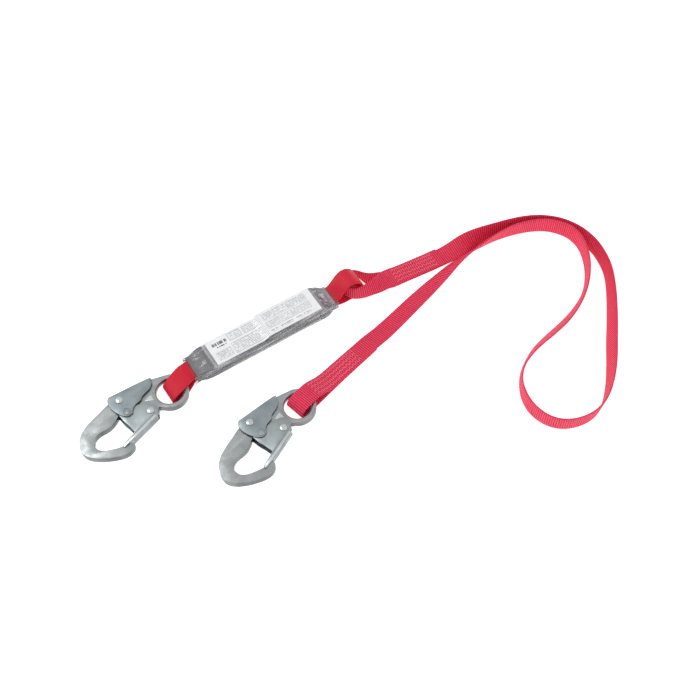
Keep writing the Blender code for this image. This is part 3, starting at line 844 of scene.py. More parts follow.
def zigzag_stitches(name: str, path: WebPath, span: tuple[float, float], rows: Sequence[float], lift: float,
                    material: bpy.types.Material, pitch: float = 2.6 * MM, swing: float = 2.0 * MM
                    ) -> bpy.types.Object:
    """Sew zigzag rows of raised stitches along a web.

    Args:
        name: Name of the piece.
        path: The web's middle line.
        span: First and last length along the path.
        rows: Place of each row across the web.
        lift: Height of the thread over the middle line.
        material: The thread's material.
        pitch: Length of one stitch along the web.
        swing: How far a stitch goes to each side of its row.

    Returns:
        One piece with every stitch.
    """
    fine = path.evenly(pitch)
    bm = bmesh.new()
    layer = bm.loops.layers.uv.new("web")
    for row in rows:
        side = 1.0
        for i in range(len(fine.points) - 1):
            if not span[0] <= fine.lengths[i] <= span[1]:
                continue
            here, there = fine.frame(i), fine.frame(i + 1)
            drift = 0.5 * MM * noise.noise(Vector((i * 0.7, row * 900.0, 0.0)))
            start = fine.points[i] + here[1] * (row + drift + side * swing) + here[2] * lift
            end = fine.points[i + 1] + there[1] * (row + drift - side * swing) + there[2] * lift
            side = -side
            along = end - start
            turn = Matrix.Translation((start + end) / 2) @ along.to_track_quat("X", "Z").to_matrix().to_4x4()
            shape = Matrix.Diagonal((along.length * 0.46, 0.50 * MM, 0.34 * MM, 1.0))
            bmesh.ops.create_icosphere(bm, subdivisions=1, radius=1.0, matrix=turn @ shape)
    for face in bm.faces:
        for loop in face.loops:
            loop[layer].uv = (loop.vert.co.x, loop.vert.co.y)
    return finish_mesh(name, bm, material, 80.0)


def smooth_outline(outline: Outline, per_span: int = 5, corner: float = 42.0) -> list[tuple[float, float]]:
    """Round a closed outline between its corners.

    Args:
        outline: Points in order.
        per_span: Samples between neighbouring points.
        corner: A turn of more degrees than this stays a corner.

    Returns:
        The finer outline.
    """
    points = [Vector(p) for p in outline]
    count = len(points)

    def turn(i: int) -> float:
        """Return how many degrees the outline turns at a point."""
        before, after = points[i] - points[i - 1], points[(i + 1) % count] - points[i]
        return math.degrees(before.angle(after))

    sharp = [turn(i) > corner for i in range(count)]
    out: list[tuple[float, float]] = []
    for i in range(count):
        first, second = points[i], points[(i + 1) % count]
        before = points[i - 1] if not sharp[i] else 2 * first - second
        after = points[(i + 2) % count] if not sharp[(i + 1) % count] else 2 * second - first
        if sharp[i] and sharp[(i + 1) % count]:
            out.append(tuple(first))
            continue
        out += [tuple(catmull_rom(before, first, second, after, k / per_span)) for k in range(per_span)]
    return out


def plate(bm: bmesh.types.BMesh, outline: Outline, low: float, high: float) -> list[bmesh.types.BMEdge]:
    """Raise a flat outline into a plate.

    Args:
        bm: The mesh to add to.
        outline: Points in order, in metres.
        low: Height of the lower face.
        high: Height of the upper face.

    Returns:
        The rim edges of both faces.
    """
    base = bm.faces.new([bm.verts.new((x, y, low)) for x, y in outline])
    raised = bmesh.ops.extrude_face_region(bm, geom=[base])["geom"]
    bmesh.ops.translate(bm, verts=[v for v in raised if isinstance(v, bmesh.types.BMVert)], vec=(0, 0, high - low))
    bmesh.ops.recalc_face_normals(bm, faces=bm.faces)
    bm.normal_update()
    return rim_edges(bm)


def rim_edges(bm: bmesh.types.BMesh) -> list[bmesh.types.BMEdge]:
    """Return the edges where a plate's flat faces meet its walls."""
    return [e for e in bm.edges if sum(abs(f.normal.z) > FLAT_SLOPE for f in e.link_faces) == 1]


def twin_plates(bm: bmesh.types.BMesh, outline: Outline, low: float, high: float) -> None:
    """Raise an outline between two heights over the middle plane, and its twin as far under it."""
    for below, above in ((-high, -low), (low, high)):
        plate(bm, outline, below, above)


def spot_at(place: tuple[float, float]) -> Vector:
    """Return the point in metres on the middle plane of a place in millimetres."""
    return Vector((place[0] * MM, place[1] * MM, 0.0))


def round_edges(bm: bmesh.types.BMesh, edges: list[bmesh.types.BMEdge], width: float, segments: int) -> None:
    """Bevel edges to a round.

    Args:
        bm: The mesh.
        edges: The edges to round.
        width: Width of the round.
        segments: Number of facets in it.
    """
    bmesh.ops.bevel(bm, geom=edges, offset=width, offset_type="OFFSET", segments=segments, profile=0.5,
                    affect="EDGES", material=-1, clamp_overlap=True)


def turned(bm: bmesh.types.BMesh, profile: Sequence[tuple[float, float]], steps: int, centre: Vector) -> None:
    """Spin a profile about the Z axis, and move the turned shape.

    Args:
        bm: The mesh to add to.
        profile: Radius and height of each point, from the axis back to the axis.
        steps: Facets round the shape.
        centre: Where the axis goes.
    """
    verts = [bm.verts.new((r, 0.0, z)) for r, z in profile]
    edges = [bm.edges.new(pair) for pair in zip(verts, verts[1:])]
    bmesh.ops.spin(bm, geom=[*verts, *edges], cent=(0, 0, 0), axis=(0, 0, 1), angle=2 * math.pi, steps=steps,
                   use_merge=True)
    bmesh.ops.remove_doubles(bm, verts=bm.verts, dist=1e-6)
    bmesh.ops.translate(bm, verts=bm.verts, vec=centre)


def carve(piece: bpy.types.Object, tools: Sequence[bpy.types.Object]) -> None:
    """Take the tools' volumes away from a piece, and delete the tools.

    Args:
        piece: The piece to cut.
        tools: Closed shapes that are cut out of it in order.
    """
    for tool in tools:
        step = piece.modifiers.new("carve", "BOOLEAN")
        step.operation, step.solver, step.object = "DIFFERENCE", "EXACT", tool
    bpy.context.view_layer.update()
    seen = piece.evaluated_get(bpy.context.evaluated_depsgraph_get())
    mesh = bpy.data.meshes.new_from_object(seen)
    piece.modifiers.clear()
    piece.data = mesh
    mesh.shade_smooth()
    mesh.set_sharp_from_angle(angle=math.radians(SMOOTH_STEEL))
    for tool in tools:
        bpy.data.objects.remove(tool, do_unlink=True)


# ---------------------------------------------------------------- the pieces


def settle(piece: bpy.types.Object, body: Body, slot: Slot, *nodes: str) -> bpy.types.Object:
    """Ride a piece on its body and report it.

    Args:
        piece: The piece.
        body: The body that carries it.
        slot: Its material slot in the record; not used.
        nodes: Names of the nodes it stands for.

    Returns:
        The same piece.
    """
    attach(piece, body.value)
    if nodes:
        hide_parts(*nodes)
    LOG.info("%s rides on %s, %d faces", piece.name, body.value, len(piece.data.polygons))
    return piece


@dataclass
class WebbingLeg:
    """The leg: one web from the link eye round the far loop to the second hook."""

    finishes: Finishes
    width: float = WEB_WIDTH
    thick: float = WEB_THICK
    rib_depth: float = 0.30 * MM
    floor_gap: float = 0.3      # millimetres
    row_gap: float = 5.2 * MM
    thread_lift: float = 0.05 * MM
    link_sewn: tuple[float, float] = (6 * MM, 62 * MM)
    hook_sewn: tuple[float, float] = (125 * MM, 50 * MM)
    exit: tuple[float, float, float] = (0.140, -0.010, 0.010)
    bight_yaw: float = 14.0
    route: tuple[tuple[float, float, float], ...] = (
        (166, -15.6, 4), (180, -17.0, 0), (200, -19.2, 0), (222, -21.4, 0), (241, -22.9, 1),
        (257, -24.5, 16), (270, -25.9, 40), (284, -27.4, 62), (303, -30.6, 76), (325, -36.0, 80),
        (345, -43.0, 82), (362, -53.0, 83), (377, -68.0, 82), (387.5, -88, 81), (391.5, -109, 81),
        (390, -129, 81), (383, -151, 79), (369, -174, 74), (349.5, -200, 70), (328.5, -225.5, 68),
        (308, -250.5, 70), (289, -270, 76), (270, -284, 83), (250, -290, 88), (229.5, -287.5, 89),
        (213, -278.5, 90), (202.5, -264, 92), (198.5, -246, 94), (201, -229, 93), (208, -214.5, 91),
        (220, -202, 96), (235.5, -193.5, 105), (253.5, -187, 115), (275, -182.5, 120), (299, -177.5, 118),
        (323, -169, 109), (344.5, -156.5, 99), (361.5, -140, 96), (374, -121, 96), (381, -102, 96),
        (380.5, -84.5, 96), (373, -69.8, 94), (360.4, -57.4, 92), (342.8, -48.4, 90), (322, -42.5, 86),
        (300, -40.2, 77), (280, -40.4, 69), (258, -41.4, 60), (238, -44.1, 49), (218, -48.6, 38),
        (196, -53.6, 28), (170, -59.8, 21), (140, -67.5, 16), (118, -72.6, 12))
    hook_end: tuple[tuple[float, float, float, float], ...] = (
        (97, -77.2, 5.8, 9), (80, -80.8, 5.4, 7), (50, -87.3, 4.8, 4), (36, -90.6, 4.9, 2),
        (25, -93.3, 6.9, 1), (15, -95.8, 12.2, 0), (7, -97.9, 16.2, 0), (-2, -100.4, 17.4, 0),
        (-12, -103.2, 17.4, 0))
    hook_bight: tuple[tuple[float, float, float, float], ...] = (
        (-18.4, -105.0, 14.6, 0), (-20.6, -105.6, 9.4, 0), (-18.4, -105.0, 4.2, 0))
    hook_tail: tuple[tuple[float, float, float, float], ...] = (
        (-11, -103.0, 1.4, 0), (4, -98.9, 1.4, 0), (28, -92.6, 1.6, 1), (50, -87.4, 2.2, 4),
        (80, -80.9, 2.8, 7), (97, -77.2, 3.2, 9))
    link_tail: tuple[tuple[float, float, float, float], ...] = (
        (233, -22.2, 3.9, 180), (222, -21.4, 3.9, 180), (200, -19.2, 3.9, 180), (180, -17.0, 4.1, 180),
        (166, -16.4, 5.8, 172))
    link_eye: tuple[tuple[float, float, float, float, float], ...] = (
        (157, -17.0, 8.0, 160, 22), (148, -18.6, 10.0, 144, 20), (138, -19.4, 11.6, 128, 18),
        (126, -18.8, 12.0, 114, 16.5), (116, -14.6, 11.6, 108, 15), (111, -5.0, 10.6, 106, 14),
        (111.6, 5.5, 9.4, 102, 13), (117.0, 12.6, 8.2, 94, 12), (124, 14.2, 7.3, 90, 11.5),
        (131.2, 13.4, 6.8, 88, 11.5), (136.4, 8.9, 6.6, 84, 12), (139.4, 2.6, 6.9, 74, 13),
        (143.2, -4.4, 7.3, 56, 15.5), (149.0, -9.8, 6.6, 36, 18.5), (156.6, -13.4, 4.4, 16, 21.5))

    def path(self) -> tuple[WebPath, int, int]:
        """Build the whole path of the leg.

        Returns:
            The path, and the steps where the link tail ends and the hook tail starts.
        """
        half, rise = self.width / 2 / MM, self.thick / 2 / MM
        route = []
        for x, y, roll in self.route:
            angle = math.radians(roll)
            route.append((x, y, half * abs(math.sin(angle)) + rise * abs(math.cos(angle)) + self.floor_gap, roll))
        per_span = 8
        full = self.width / MM
        ahead = rolled_path([*[(*s, full) for s in self.link_tail], *self.link_eye,
                             *[(*s, full) for s in (*route, *self.hook_end[:-1])]], per_span)
        bight = smooth_through([*self.hook_end[-2:], *self.hook_bight, *self.hook_tail], per_span)[per_span:]
        yaw = math.radians(self.bight_yaw)
        side = Vector((math.sin(yaw), -math.cos(yaw), 0.0))
        for sample in bight:
            ahead.points.append(Vector(sample[:3]) * MM)
            ahead.across.append((side + Vector((0, 0, math.sin(math.radians(sample[3]))))).normalized())
            ahead.widths.append(self.width)
        tail_end = per_span * len(self.link_tail)
        tail_start = len(ahead.points) - per_span * (len(self.hook_tail) - 1)
        return WebPath(ahead.points, ahead.across, ahead.widths), tail_end, tail_start

    def build(self) -> None:
        """Make the leg, its sewn tails and their stitches."""
        whole, tail_end, tail_start = self.path()
        red = self.finishes.get(RED_LEG)
        run = whole.part(tail_end, tail_start)
        leg = settle(self._web("leg_web", run, red), Body.LEG, Slot.RED, "leg_webbing")
        tails = []
        for name, first, last in (("leg_link_tail", 0, tail_end), ("leg_hook_tail", tail_start, len(whole.points) - 1)):
            tails.append(settle(self._web(name, whole.part(first, last), red), Body.LEG, Slot.RED))
        tails += self._stitches(whole, run)
        fine = run.evenly(4 * MM)
        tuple(self.exit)
        [tuple(p) for p in fine.points]
        LOG.info("the leg's web is %.3f m long", fine.lengths[-1])

    def _web(self, name: str, path: WebPath, material: bpy.types.Material) -> bpy.types.Object:
        """Make one length of the leg's ribbed web."""
        return web_piece(name, path, self.thick, material, rib=self.rib_depth)

    def _stitches(self, whole: WebPath, run: WebPath) -> list[bpy.types.Object]:
        """Sew both tails down, on the faces that look up."""
        thread = self.finishes.get(RED_THREAD)
        rows = [k * self.row_gap for k in (-1.5, -0.5, 0.5, 1.5)]
        lift = self.thick / 2 + self.thread_lift
        near_hook = tuple(run.lengths[-1] - back for back in self.hook_sewn)
        made = [zigzag_stitches("link_tail_stitches", whole, self.link_sewn, rows, -lift, thread),
                zigzag_stitches("hook_tail_stitches", run, near_hook, rows, lift, thread)]
        return [settle(piece, Body.LEG, Slot.RED) for piece in made]


@dataclass
class EnergyPack:
    """The energy absorber: folded grey webs, two labels and red loops in a clear film sleeve."""

    finishes: Finishes
    loop_width: float = WEB_WIDTH
    loop_thick: float = WEB_THICK
    web_width: float = 31.0 * MM
    web_thick: float = 1.6 * MM
    layer: float = 2.2 * MM
    runs: int = 7
    left: float = -70.0 * MM
    right: float = 67.0 * MM
    first_run: float = 1.7 * MM
    step_x: float = 3.0 * MM
    taper_x: float = 77.0 * MM
    taper_run: float = 4.0 * MM
    side_shift: float = 0.55 * MM       # how far every second pair of runs lies off the middle
    film_thick: float = 0.35 * MM
    wrap_inset: float = 0.5 * MM
    wrap_thick: float = 0.3 * MM
    wrap_span: tuple[float, float] = (68.0, 90.6)
    label_width: float = 33.0 * MM
    label_half_thick: float = 0.12 * MM
    label_wave: float = 0.22 * MM
    skin_points: int = 88
    ring_gap: float = 1.2               # millimetres between rings of the skin
    crease_depth: float = 0.9
    ripple_depth: float = 0.2
    link_loop: tuple[tuple[float, float, float], ...] = (
        (83, -2.3, 12.0), (90, -2.3, 11.9), (96, -2.2, 14.2), (101.5, -2.0, 20.0), (107, -1.8, 26.2),
        (113, -1.6, 29.5), (119.5, -1.6, 28.7), (125.5, -1.7, 24.0), (129.4, -1.8, 17.4), (130.6, -1.8, 10.6),
        (128.4, -1.9, 4.6), (122, -2.0, 1.5), (112, -2.0, 1.3), (103, -2.1, 1.9), (96, -2.2, 4.2),
        (90, -2.3, 4.9), (83, -2.3, 4.9))
    anchor_loop: tuple[tuple[float, float, float], ...] = (
        (-83, 0.9, 12.0), (-90, 0.3, 12.2), (-96, -1.2, 13.2), (-103, -4.2, 16.0), (-111, -8.0, 17.5),
        (-119, -11.2, 17.4), (-125.4, -12.6, 14.6), (-127.8, -13.0, 9.6), (-125.4, -12.6, 4.7),
        (-119, -11.2, 1.8), (-111, -8.0, 1.5), (-103, -4.2, 2.3), (-96, -1.2, 4.2), (-90, 0.3, 4.9),
        (-83, 0.9, 4.9))
    sleeve: tuple[tuple[float, float, float, float, float], ...] = (
        (-94, 15.3, 2.0, 15.6, 1.2), (-87, 14.6, 2.0, 15.2, 1.2), (-80, 16.8, 1.0, 16.6, 1.6),
        (-73.5, 17.5, 0.1, 18.6, 2.2), (-68, 17.6, 0.0, 18.9, 2.2), (-5, 17.6, 0.0, 18.9, 2.2),
        (4, 17.6, 0.0, 23.3, 2.2), (68, 17.6, 0.0, 23.3, 2.2), (74, 17.5, 0.1, 22.6, 2.0),
        (80, 16.8, 1.0, 18.6, 1.6), (87, 14.3, 2.0, 15.2, 1.2), (94, 14.3, 2.0, 15.2, 1.2))

    def middle(self, x: float) -> float:
        """Return the side offset of the pack's middle line at x."""
        return -0.8 * MM - 0.018 * x

    def build(self) -> None:
        """Make every piece of the pack."""
        self._folded("tear_web_folds", self._energy_turns(), "energy_web")
        self._folded("backup_web_folds", self._backup_turns(), "backup_web")
        self._loop("anchor_loop_web", self.anchor_loop, "anchor_loop")
        self._loop("link_loop_web", self.link_loop, "link_loop")
        self._label("main_label_sheet", ((-65, 19.5), (-50, 19.5), (-30, 19.5), (-6.5, 19.5), (-4.5, 19.95),
                                         (1.5, 22.9), (3.2, 23.6)), LABEL_MAIN, "label_main")
        self._label("notes_label_sheet", ((2.9, 23.75), (7, 24.0), (40, 24.0), (68, 24.0), (71, 23.8)), LABEL_NOTES,
                    "label_notes")
        self._wraps()
        self._film()

    def _arc(self, x: float, low: float, side: int) -> list[tuple[float, float]]:
        """Return the half-round fold that joins the run at height low to the next run up."""
        steps, radius = 6, self.layer / 2
        return [(x + side * radius * math.cos(-math.pi / 2 + math.pi * k / steps),
                 low + radius + radius * math.sin(-math.pi / 2 + math.pi * k / steps)) for k in range(1, steps)]

    def _energy_turns(self) -> list[tuple[float, float]]:
        """Return the side view of the tear web."""
        turns = [(-90 * MM, 7.3 * MM), (-81 * MM, 7.2 * MM), (-75 * MM, 3.4 * MM), (self.left, self.first_run)]
        for run in range(self.runs):
            height = self.first_run + run * self.layer
            rightwards = run % 2 == 0
            end = self.right if rightwards else self.left
            turns.append((end, height))
            if run < self.runs - 1:
                turns += self._arc(end, height, 1 if rightwards else -1)
                turns.append((end, height + self.layer))
        return [*turns, (73 * MM, 12.2 * MM), (81 * MM, 7.4 * MM), (90 * MM, 7.2 * MM)]

    def _backup_turns(self) -> list[tuple[float, float]]:
        """Return the side view of the backup web."""
        first = self.first_run + self.runs * self.layer
        second = first + self.layer
        left, right = self.step_x + 4 * MM, self.right - 1 * MM
        turns = [(-90 * MM, 9.6 * MM), (-81 * MM, 9.7 * MM), (-78 * MM, 11.6 * MM), (-74.6 * MM, 15.8 * MM),
                 (self.left, first), (right, first), *self._arc(right, first, 1), (right, second), (left, second),
                 *self._arc(left, second, -1), (left, second + self.layer), (self.right, second + self.layer)]
        return [*turns, (74 * MM, 17.8 * MM), (81 * MM, 9.9 * MM), (90 * MM, 9.5 * MM)]

    def _folded(self, name: str, turns: list[tuple[float, float]], node: str) -> None:
        """Make one folded grey web in place of its node.

        Args:
            name: Name of the piece.
            turns: Side view of the web, as x and z.
            node: The node it stands for.
        """
        kept = [turns[0]]
        for x, z in turns[1:]:
            if math.hypot(x - kept[-1][0], z - kept[-1][1]) > 0.1 * MM:
                kept.append((x, z))
        points = [Vector((x, self.middle(x), z)) for x, z in kept]
        path = WebPath(points, [Vector((0, 1, 0))] * len(points))
        fine = path.evenly(1.1 * MM)
        narrow_share, valley_share = self.loop_width / self.web_width, 0.12
        shares = [1.0 + (narrow_share - 1.0) * min(1.0, max(0.0, (abs(point.x) - self.taper_x) / self.taper_run))
                  for point in fine.points]
        section = web_section(self.web_width, self.web_thick)
        frames = [fine.frame(i) for i in range(len(fine.points))]

        def place(i: int, k: int) -> Vector:
            """Return point k of ring i."""
            across, up = section[k]
            pair = round((fine.points[i].z - self.first_run) / self.layer) // 2
            run_shift = self.side_shift * (1 if pair % 2 else -1)
            drawn = 1.0 - (valley_share if i % 2 else 0.0)
            return fine.points[i] + frames[i][1] * (across * shares[i] + run_shift) + frames[i][2] * (up * drawn)

        bm = bmesh.new()
        grid_tube(bm, len(fine.points), len(section), place,
                  lambda i, k: (section[k % len(section)][0], fine.lengths[i]))
        piece = finish_mesh(name, bm, self.finishes.get(GREY_TEAR), 70.0)
        settle(piece, Body.PACK, Slot.GREY, node)

    def _loop(self, name: str, stations: tuple[tuple[float, float, float], ...], node: str) -> None:
        """Make one red loop of the pack in place of its node.

        Args:
            name: Name of the piece.
            stations: Points of its middle line, in millimetres.
            node: The node it stands for.
        """
        points = [Vector(s) * MM for s in smooth_through(stations, 8)]
        path = WebPath(points, [Vector((0, 1, 0))] * len(points))
        piece = web_piece(name, path, self.loop_thick, self.finishes.get(RED_LOOP), 0.45 * MM,
                          rib=0.06 * MM, pitch=RED_LOOP.rib_pitch)
        settle(piece, Body.PACK, Slot.RED, node)

    def _label(self, name: str, stations: tuple[tuple[float, float], ...], finish: LabelFinish, node: str) -> None:
        """Make one label sheet with soft waves in place of its node.

        Args:
            name: Name of the piece.
            stations: Side view of the sheet, as x and z in millimetres.
            finish: Its print.
            node: The node it stands for.
        """
        points = [Vector((x * MM, self.middle(x * MM), z * MM)) for x, z in stations]
        fine = WebPath(points, [Vector((0, 1, 0))] * len(points)).evenly(1.5 * MM)
        half, thick, columns = self.label_width / 2, self.label_half_thick, 12
        around = 2 * columns + 2

        def side_of(k: int) -> float:
            """Return how far point k of a ring lies to the side."""
            row = k if k <= columns else around - 1 - k
            return -half + 2 * half * row / columns

        def place(i: int, k: int) -> Vector:
            """Return point k of ring i."""
            y = side_of(k)
            wave = self.label_wave * noise.noise(Vector((fine.points[i].x * 70.0, y * 60.0, 2.0)))
            return fine.points[i] + Vector((0, y, wave + (thick if k <= columns else -thick)))

        bm = bmesh.new()
        grid_tube(bm, len(fine.points), around, place, lambda i, k: (fine.lengths[i], side_of(k % around)))
        piece = finish_mesh(name, bm, self.finishes.get(finish), 50.0)
        settle(piece, Body.PACK, Slot.LABEL, node)

    def _film(self) -> None:
        """Make the clear film sleeve, drawn in and creased at both ends."""
        stations = self._sleeve_rings()
        bm = bmesh.new()
        grid_tube(bm, len(stations), self.skin_points, lambda i, k: self._skin(stations[i], k, 0.0),
                  closed_ends=False)
        self._thicken(bm, self.film_thick)
        piece = finish_mesh("film_sleeve", bm, self.finishes.get(CLEAR_FILM), 50.0)
        settle(piece, Body.PACK, Slot.FILM, "clear_sleeve")

    def _wraps(self) -> None:
        """Make the grey web wrapped round each tapered end, just under the film."""
        for name, side, finish in (("anchor_end_wrap", -1, DARK_WRAP), ("link_end_wrap", 1, PALE_WRAP)):
            start, end = self.wrap_span
            rings = [ring for ring in self._sleeve_rings() if start < side * ring[0] < end]
            bm = bmesh.new()
            grid_tube(bm, len(rings), self.skin_points, lambda i, k: self._skin(rings[i], k, self.wrap_inset),
                      lambda i, k: (k * 1.6 * MM, rings[i][0] * MM), closed_ends=False)
            self._thicken(bm, self.wrap_thick)
            settle(finish_mesh(name, bm, self.finishes.get(finish), 60.0), Body.PACK, Slot.GREY)

    def _sleeve_rings(self) -> list[list[float]]:
        """Return the sleeve's stations, filled in to one every ring gap or so."""
        rings = []
        for before, after in zip(self.sleeve, self.sleeve[1:]):
            count = max(1, round((after[0] - before[0]) / self.ring_gap))
            for k in range(count):
                t = k / count
                rings.append([a + (b - a) * t for a, b in zip(before, after)])
        return [*rings, list(self.sleeve[-1])]

    def _skin(self, ring: Sequence[float], k: int, inset: float) -> Vector:
        """Find one point of the sleeve's crinkled skin, or of a layer inside it.

        Args:
            ring: x, half width, lowest height, highest height and corner radius, in millimetres.
            k: Number of the point round the ring.
            inset: Depth under the skin, in metres.

        Returns:
            The point, in metres.
        """
        x, half, low, high, radius = ring
        y, z = rounded_box_point(k / self.skin_points, half * MM - inset, low * MM + inset, high * MM - inset,
                                 radius * MM - inset)
        taper = min(1.0, max(0.0, (abs(x) - 70.0) / 14.0))
        crease = noise.noise(Vector((x * 0.05, y / MM * 0.26, z / MM * 0.24)))
        ripple = noise.noise(Vector((x * 0.02, y / MM * 0.12, z / MM * 0.30 + 9.0)))
        out = Vector((0.0, y, z - (low + high) / 2 * MM)).normalized()
        push = (self.crease_depth * taper * crease + self.ripple_depth * ripple) * MM
        spot = Vector((x * MM, self.middle(x * MM) + y, z)) + out * push
        spot.z = max(spot.z, 0.02 * MM + inset)
        return spot

    @staticmethod
    def _thicken(bm: bmesh.types.BMesh, thick: float) -> None:
        """Turn an open tube's faces outwards and give it a thickness inwards.

        Args:
            bm: The tube.
            thick: The thickness.
        """
        bmesh.ops.recalc_face_normals(bm, faces=bm.faces)
        centre = sum((v.co for v in bm.verts), Vector()) / len(bm.verts)
        if sum(f.normal.dot(f.calc_center_median() - centre) for f in bm.faces) < 0:
            bmesh.ops.reverse_faces(bm, faces=bm.faces)
        bmesh.ops.solidify(bm, geom=list(bm.faces), thickness=thick)


def rounded_box_point(turn: float, half: float, low: float, high: float, radius: float) -> tuple[float, float]:
    """Return the point at a share of the way round a rounded rectangle.

    Args:
        turn: Share of the way round, from 0 to 1.
        half: Half width.
        low: Lowest height.
        high: Highest height.
        radius: Corner radius.

    Returns:
        The (y, z) point.
    """
    radius = max(radius, 0.1 * MM)
    wide, tall = 2 * (half - radius), (high - low) - 2 * radius
    arc = radius * math.pi / 2
    at = turn * 2 * (wide + tall + 2 * arc)
    corners = ((half - radius, low + radius, -90), (half - radius, high - radius, 0),
               (radius - half, high - radius, 90), (radius - half, low + radius, 180))
    runs = ((0, tall, (half, low + radius), (0, 1)), (1, wide, (half - radius, high), (-1, 0)),
            (2, tall, (-half, high - radius), (0, -1)), (3, wide, (radius - half, low), (1, 0)))
    for index, run, start, step in runs:
        cy, cz, from_angle = corners[index]
        if at <= arc:
            angle = math.radians(from_angle + 90 * at / arc)
            return cy + radius * math.cos(angle), cz + radius * math.sin(angle)
        at -= arc
        if at <= run:
            return start[0] + step[0] * at, start[1] + step[1] * at
        at -= run
    return half - radius, low


@dataclass
class SnapHook:
    """A double-locking snap hook, built round the middle of its webbing eye."""

    finishes: Finishes
    body: Body
    gate_body: Body
    lock_body: Body
    eye: tuple[float, float]
    yaw: float
    height: float = 9.9 * MM
    eye_hole: float = 15.3 * MM
    eye_ring: float = 20.8 * MM
    frame_thick: float = 9.6 * MM
    sheet: float = 1.3 * MM
    plate_gap: float = 0.45 * MM
    rivet_radius: float = 2.6 * MM
    rivet_clearance: float = 0.35 * MM
    dome_radius: float = 4.0 * MM
    dome_rise: float = 1.5 * MM
    spring_wire: float = 0.45 * MM
    spring_radius: float = 4.0 * MM
    spring_turns: float = 2.5
    spring_pitch: float = 1.25 * MM
    pocket_radius: float = 5.0 * MM
    pocket_floor: float = 0.6 * MM
    frame_round: float = 1.6 * MM
    eye_round: float = 2.2 * MM
    sheet_round: float = 0.7 * MM
    dish_radius: float = 4.5 * MM
    bump_radius: float = 3.9 * MM
    bump_rise: float = 0.9 * MM
    lock_pivot: tuple[float, float] = (-53.0, 17.6)
    catch: tuple[float, float] = (-51.9, 0.2)
    gate_pivot: tuple[float, float] = (-29.5, -11.0)
    frame_outline: tuple[tuple[float, float], ...] = (
        (-11.6, 24.2), (-12.9, 18.2), (-30, 18.8), (-50, 20.6), (-64, 21.8), (-77, 17.9), (-92, 12.9),
        (-103, 7.6), (-111.5, -0.6), (-115.5, -11), (-114.5, -19.5), (-109, -27), (-99.5, -33.8),
        (-89, -39), (-79, -42.3), (-71, -42.3), (-65, -39.6), (-62.6, -36.2), (-64.5, -33.4),
        (-70, -32.2), (-77, -31.8), (-86, -29.5), (-94.5, -26), (-99.5, -21), (-100.8, -14),
        (-96, -7.5), (-89, -5), (-77, -4.5), (-68, -1), (-61, 3.5), (-54, 6.5), (-47, 6.0),
        (-41, 0.5), (-37.5, -8), (-34.5, -14.6), (-29, -17.2), (-23.4, -15.6), (-19, -11.6))
    gate_outline: tuple[tuple[float, float], ...] = (
        (-61.6, 2.4), (-60.4, -7), (-58.2, -14.5), (-56.4, -24.6), (-74.4, -31.2), (-75.2, -33.2),
        (-74.4, -35.6), (-28.4, -20.9), (-23.4, -17.2), (-21.2, -11), (-23.4, -5), (-27, -1.6),
        (-31, 1.2), (-44, 3.4))
    lock_outline: tuple[tuple[float, float], ...] = (
        (-61.0, 2.2), (-64.8, 11), (-65.6, 19.6), (-64.2, 24.6), (-61.4, 27.4), (-14.6, 25.2),
        (-11.8, 22.6), (-12.8, 17.4), (-17.6, 12.8), (-24.6, 10.4), (-29.4, 8.6), (-32.6, 5.4),
        (-40, 3.6), (-44.4, 0.6), (-47.4, -4.0), (-52.6, -5.2), (-57.4, -2.6))

    gate_slot: tuple[tuple[float, float], ...] = (
        (-90, -60), (-61.6, -60), (-61.6, -30.3), (-28.6, -19.7), (-15, -19.7), (-15, 20), (-90, 20))
    lock_slot: tuple[tuple[float, float], ...] = (
        (-80, -20), (-5, -20), (-5, 23.5), (-14.6, 23.9), (-61.4, 26.1), (-80, 27.0))
    rib_outline: tuple[tuple[float, float], ...] = (
        (-30.5, 3.2), (-25.0, 1.0), (-19.9, -1.8), (-20.2, 2.5), (-19.8, 7.0), (-25.5, 5.2))
    groove: tuple[tuple[float, float], tuple[float, float]] = ((-58.4, -26.5), (-25.8, -15.9))
    bead: tuple[tuple[float, float], tuple[float, float]] = ((-72.8, -33.6), (-27.6, -19.1))

    @property
    def place(self) -> Matrix:
        """Return the matrix from the hook's own frame to the floor's."""
        turn = Matrix.Rotation(math.radians(self.yaw), 4, "Z")
        return Matrix.Translation((*self.eye, self.height)) @ turn

    @property
    def gate_half(self) -> float:
        """Return half the gate's outer height."""
        return self.frame_thick / 2 + self.plate_gap + self.sheet

    @property
    def lock_half(self) -> float:
        """Return half the lever's outer height."""
        return self.gate_half + self.plate_gap + self.sheet

    @property
    def rivet_hole(self) -> float:
        """Return the radius of the clear hole round a rivet."""
        return self.rivet_radius + self.rivet_clearance

    def _half(self, part: Moving) -> float:
        """Return half the outer height of the gate or of the lever."""
        return self.gate_half if part is Moving.GATE else self.lock_half

    def _pivot(self, part: Moving) -> Vector:
        """Return where the gate or the lever turns, in the hook's own frame."""
        return spot_at(self.gate_pivot if part is Moving.GATE else self.lock_pivot)

    def _rider(self, part: Moving) -> Body:
        """Return the body of the gate or of the lever."""
        return self.gate_body if part is Moving.GATE else self.lock_body

    def build(self) -> None:
        """Make every piece of the hook."""
        self._frame()
        self._channel(Moving.GATE, self.gate_outline, self.gate_slot, STEEL_GATE)
        self._channel(Moving.LOCK, self.lock_outline, self.lock_slot, STEEL_LEVER)
        self._bar_beads()
        for part in Moving:
            self._rivet(part)
            self._spring(part)
        self._catch_bumps()

    def _finish(self, part: str, bm: bmesh.types.BMesh, steel: SteelFinish) -> bpy.types.Object:
        """Turn a bmesh in the hook's own frame into a piece."""
        return finish_mesh(f"{self.body.value}_{part}", bm, self.finishes.get(steel), SMOOTH_STEEL)

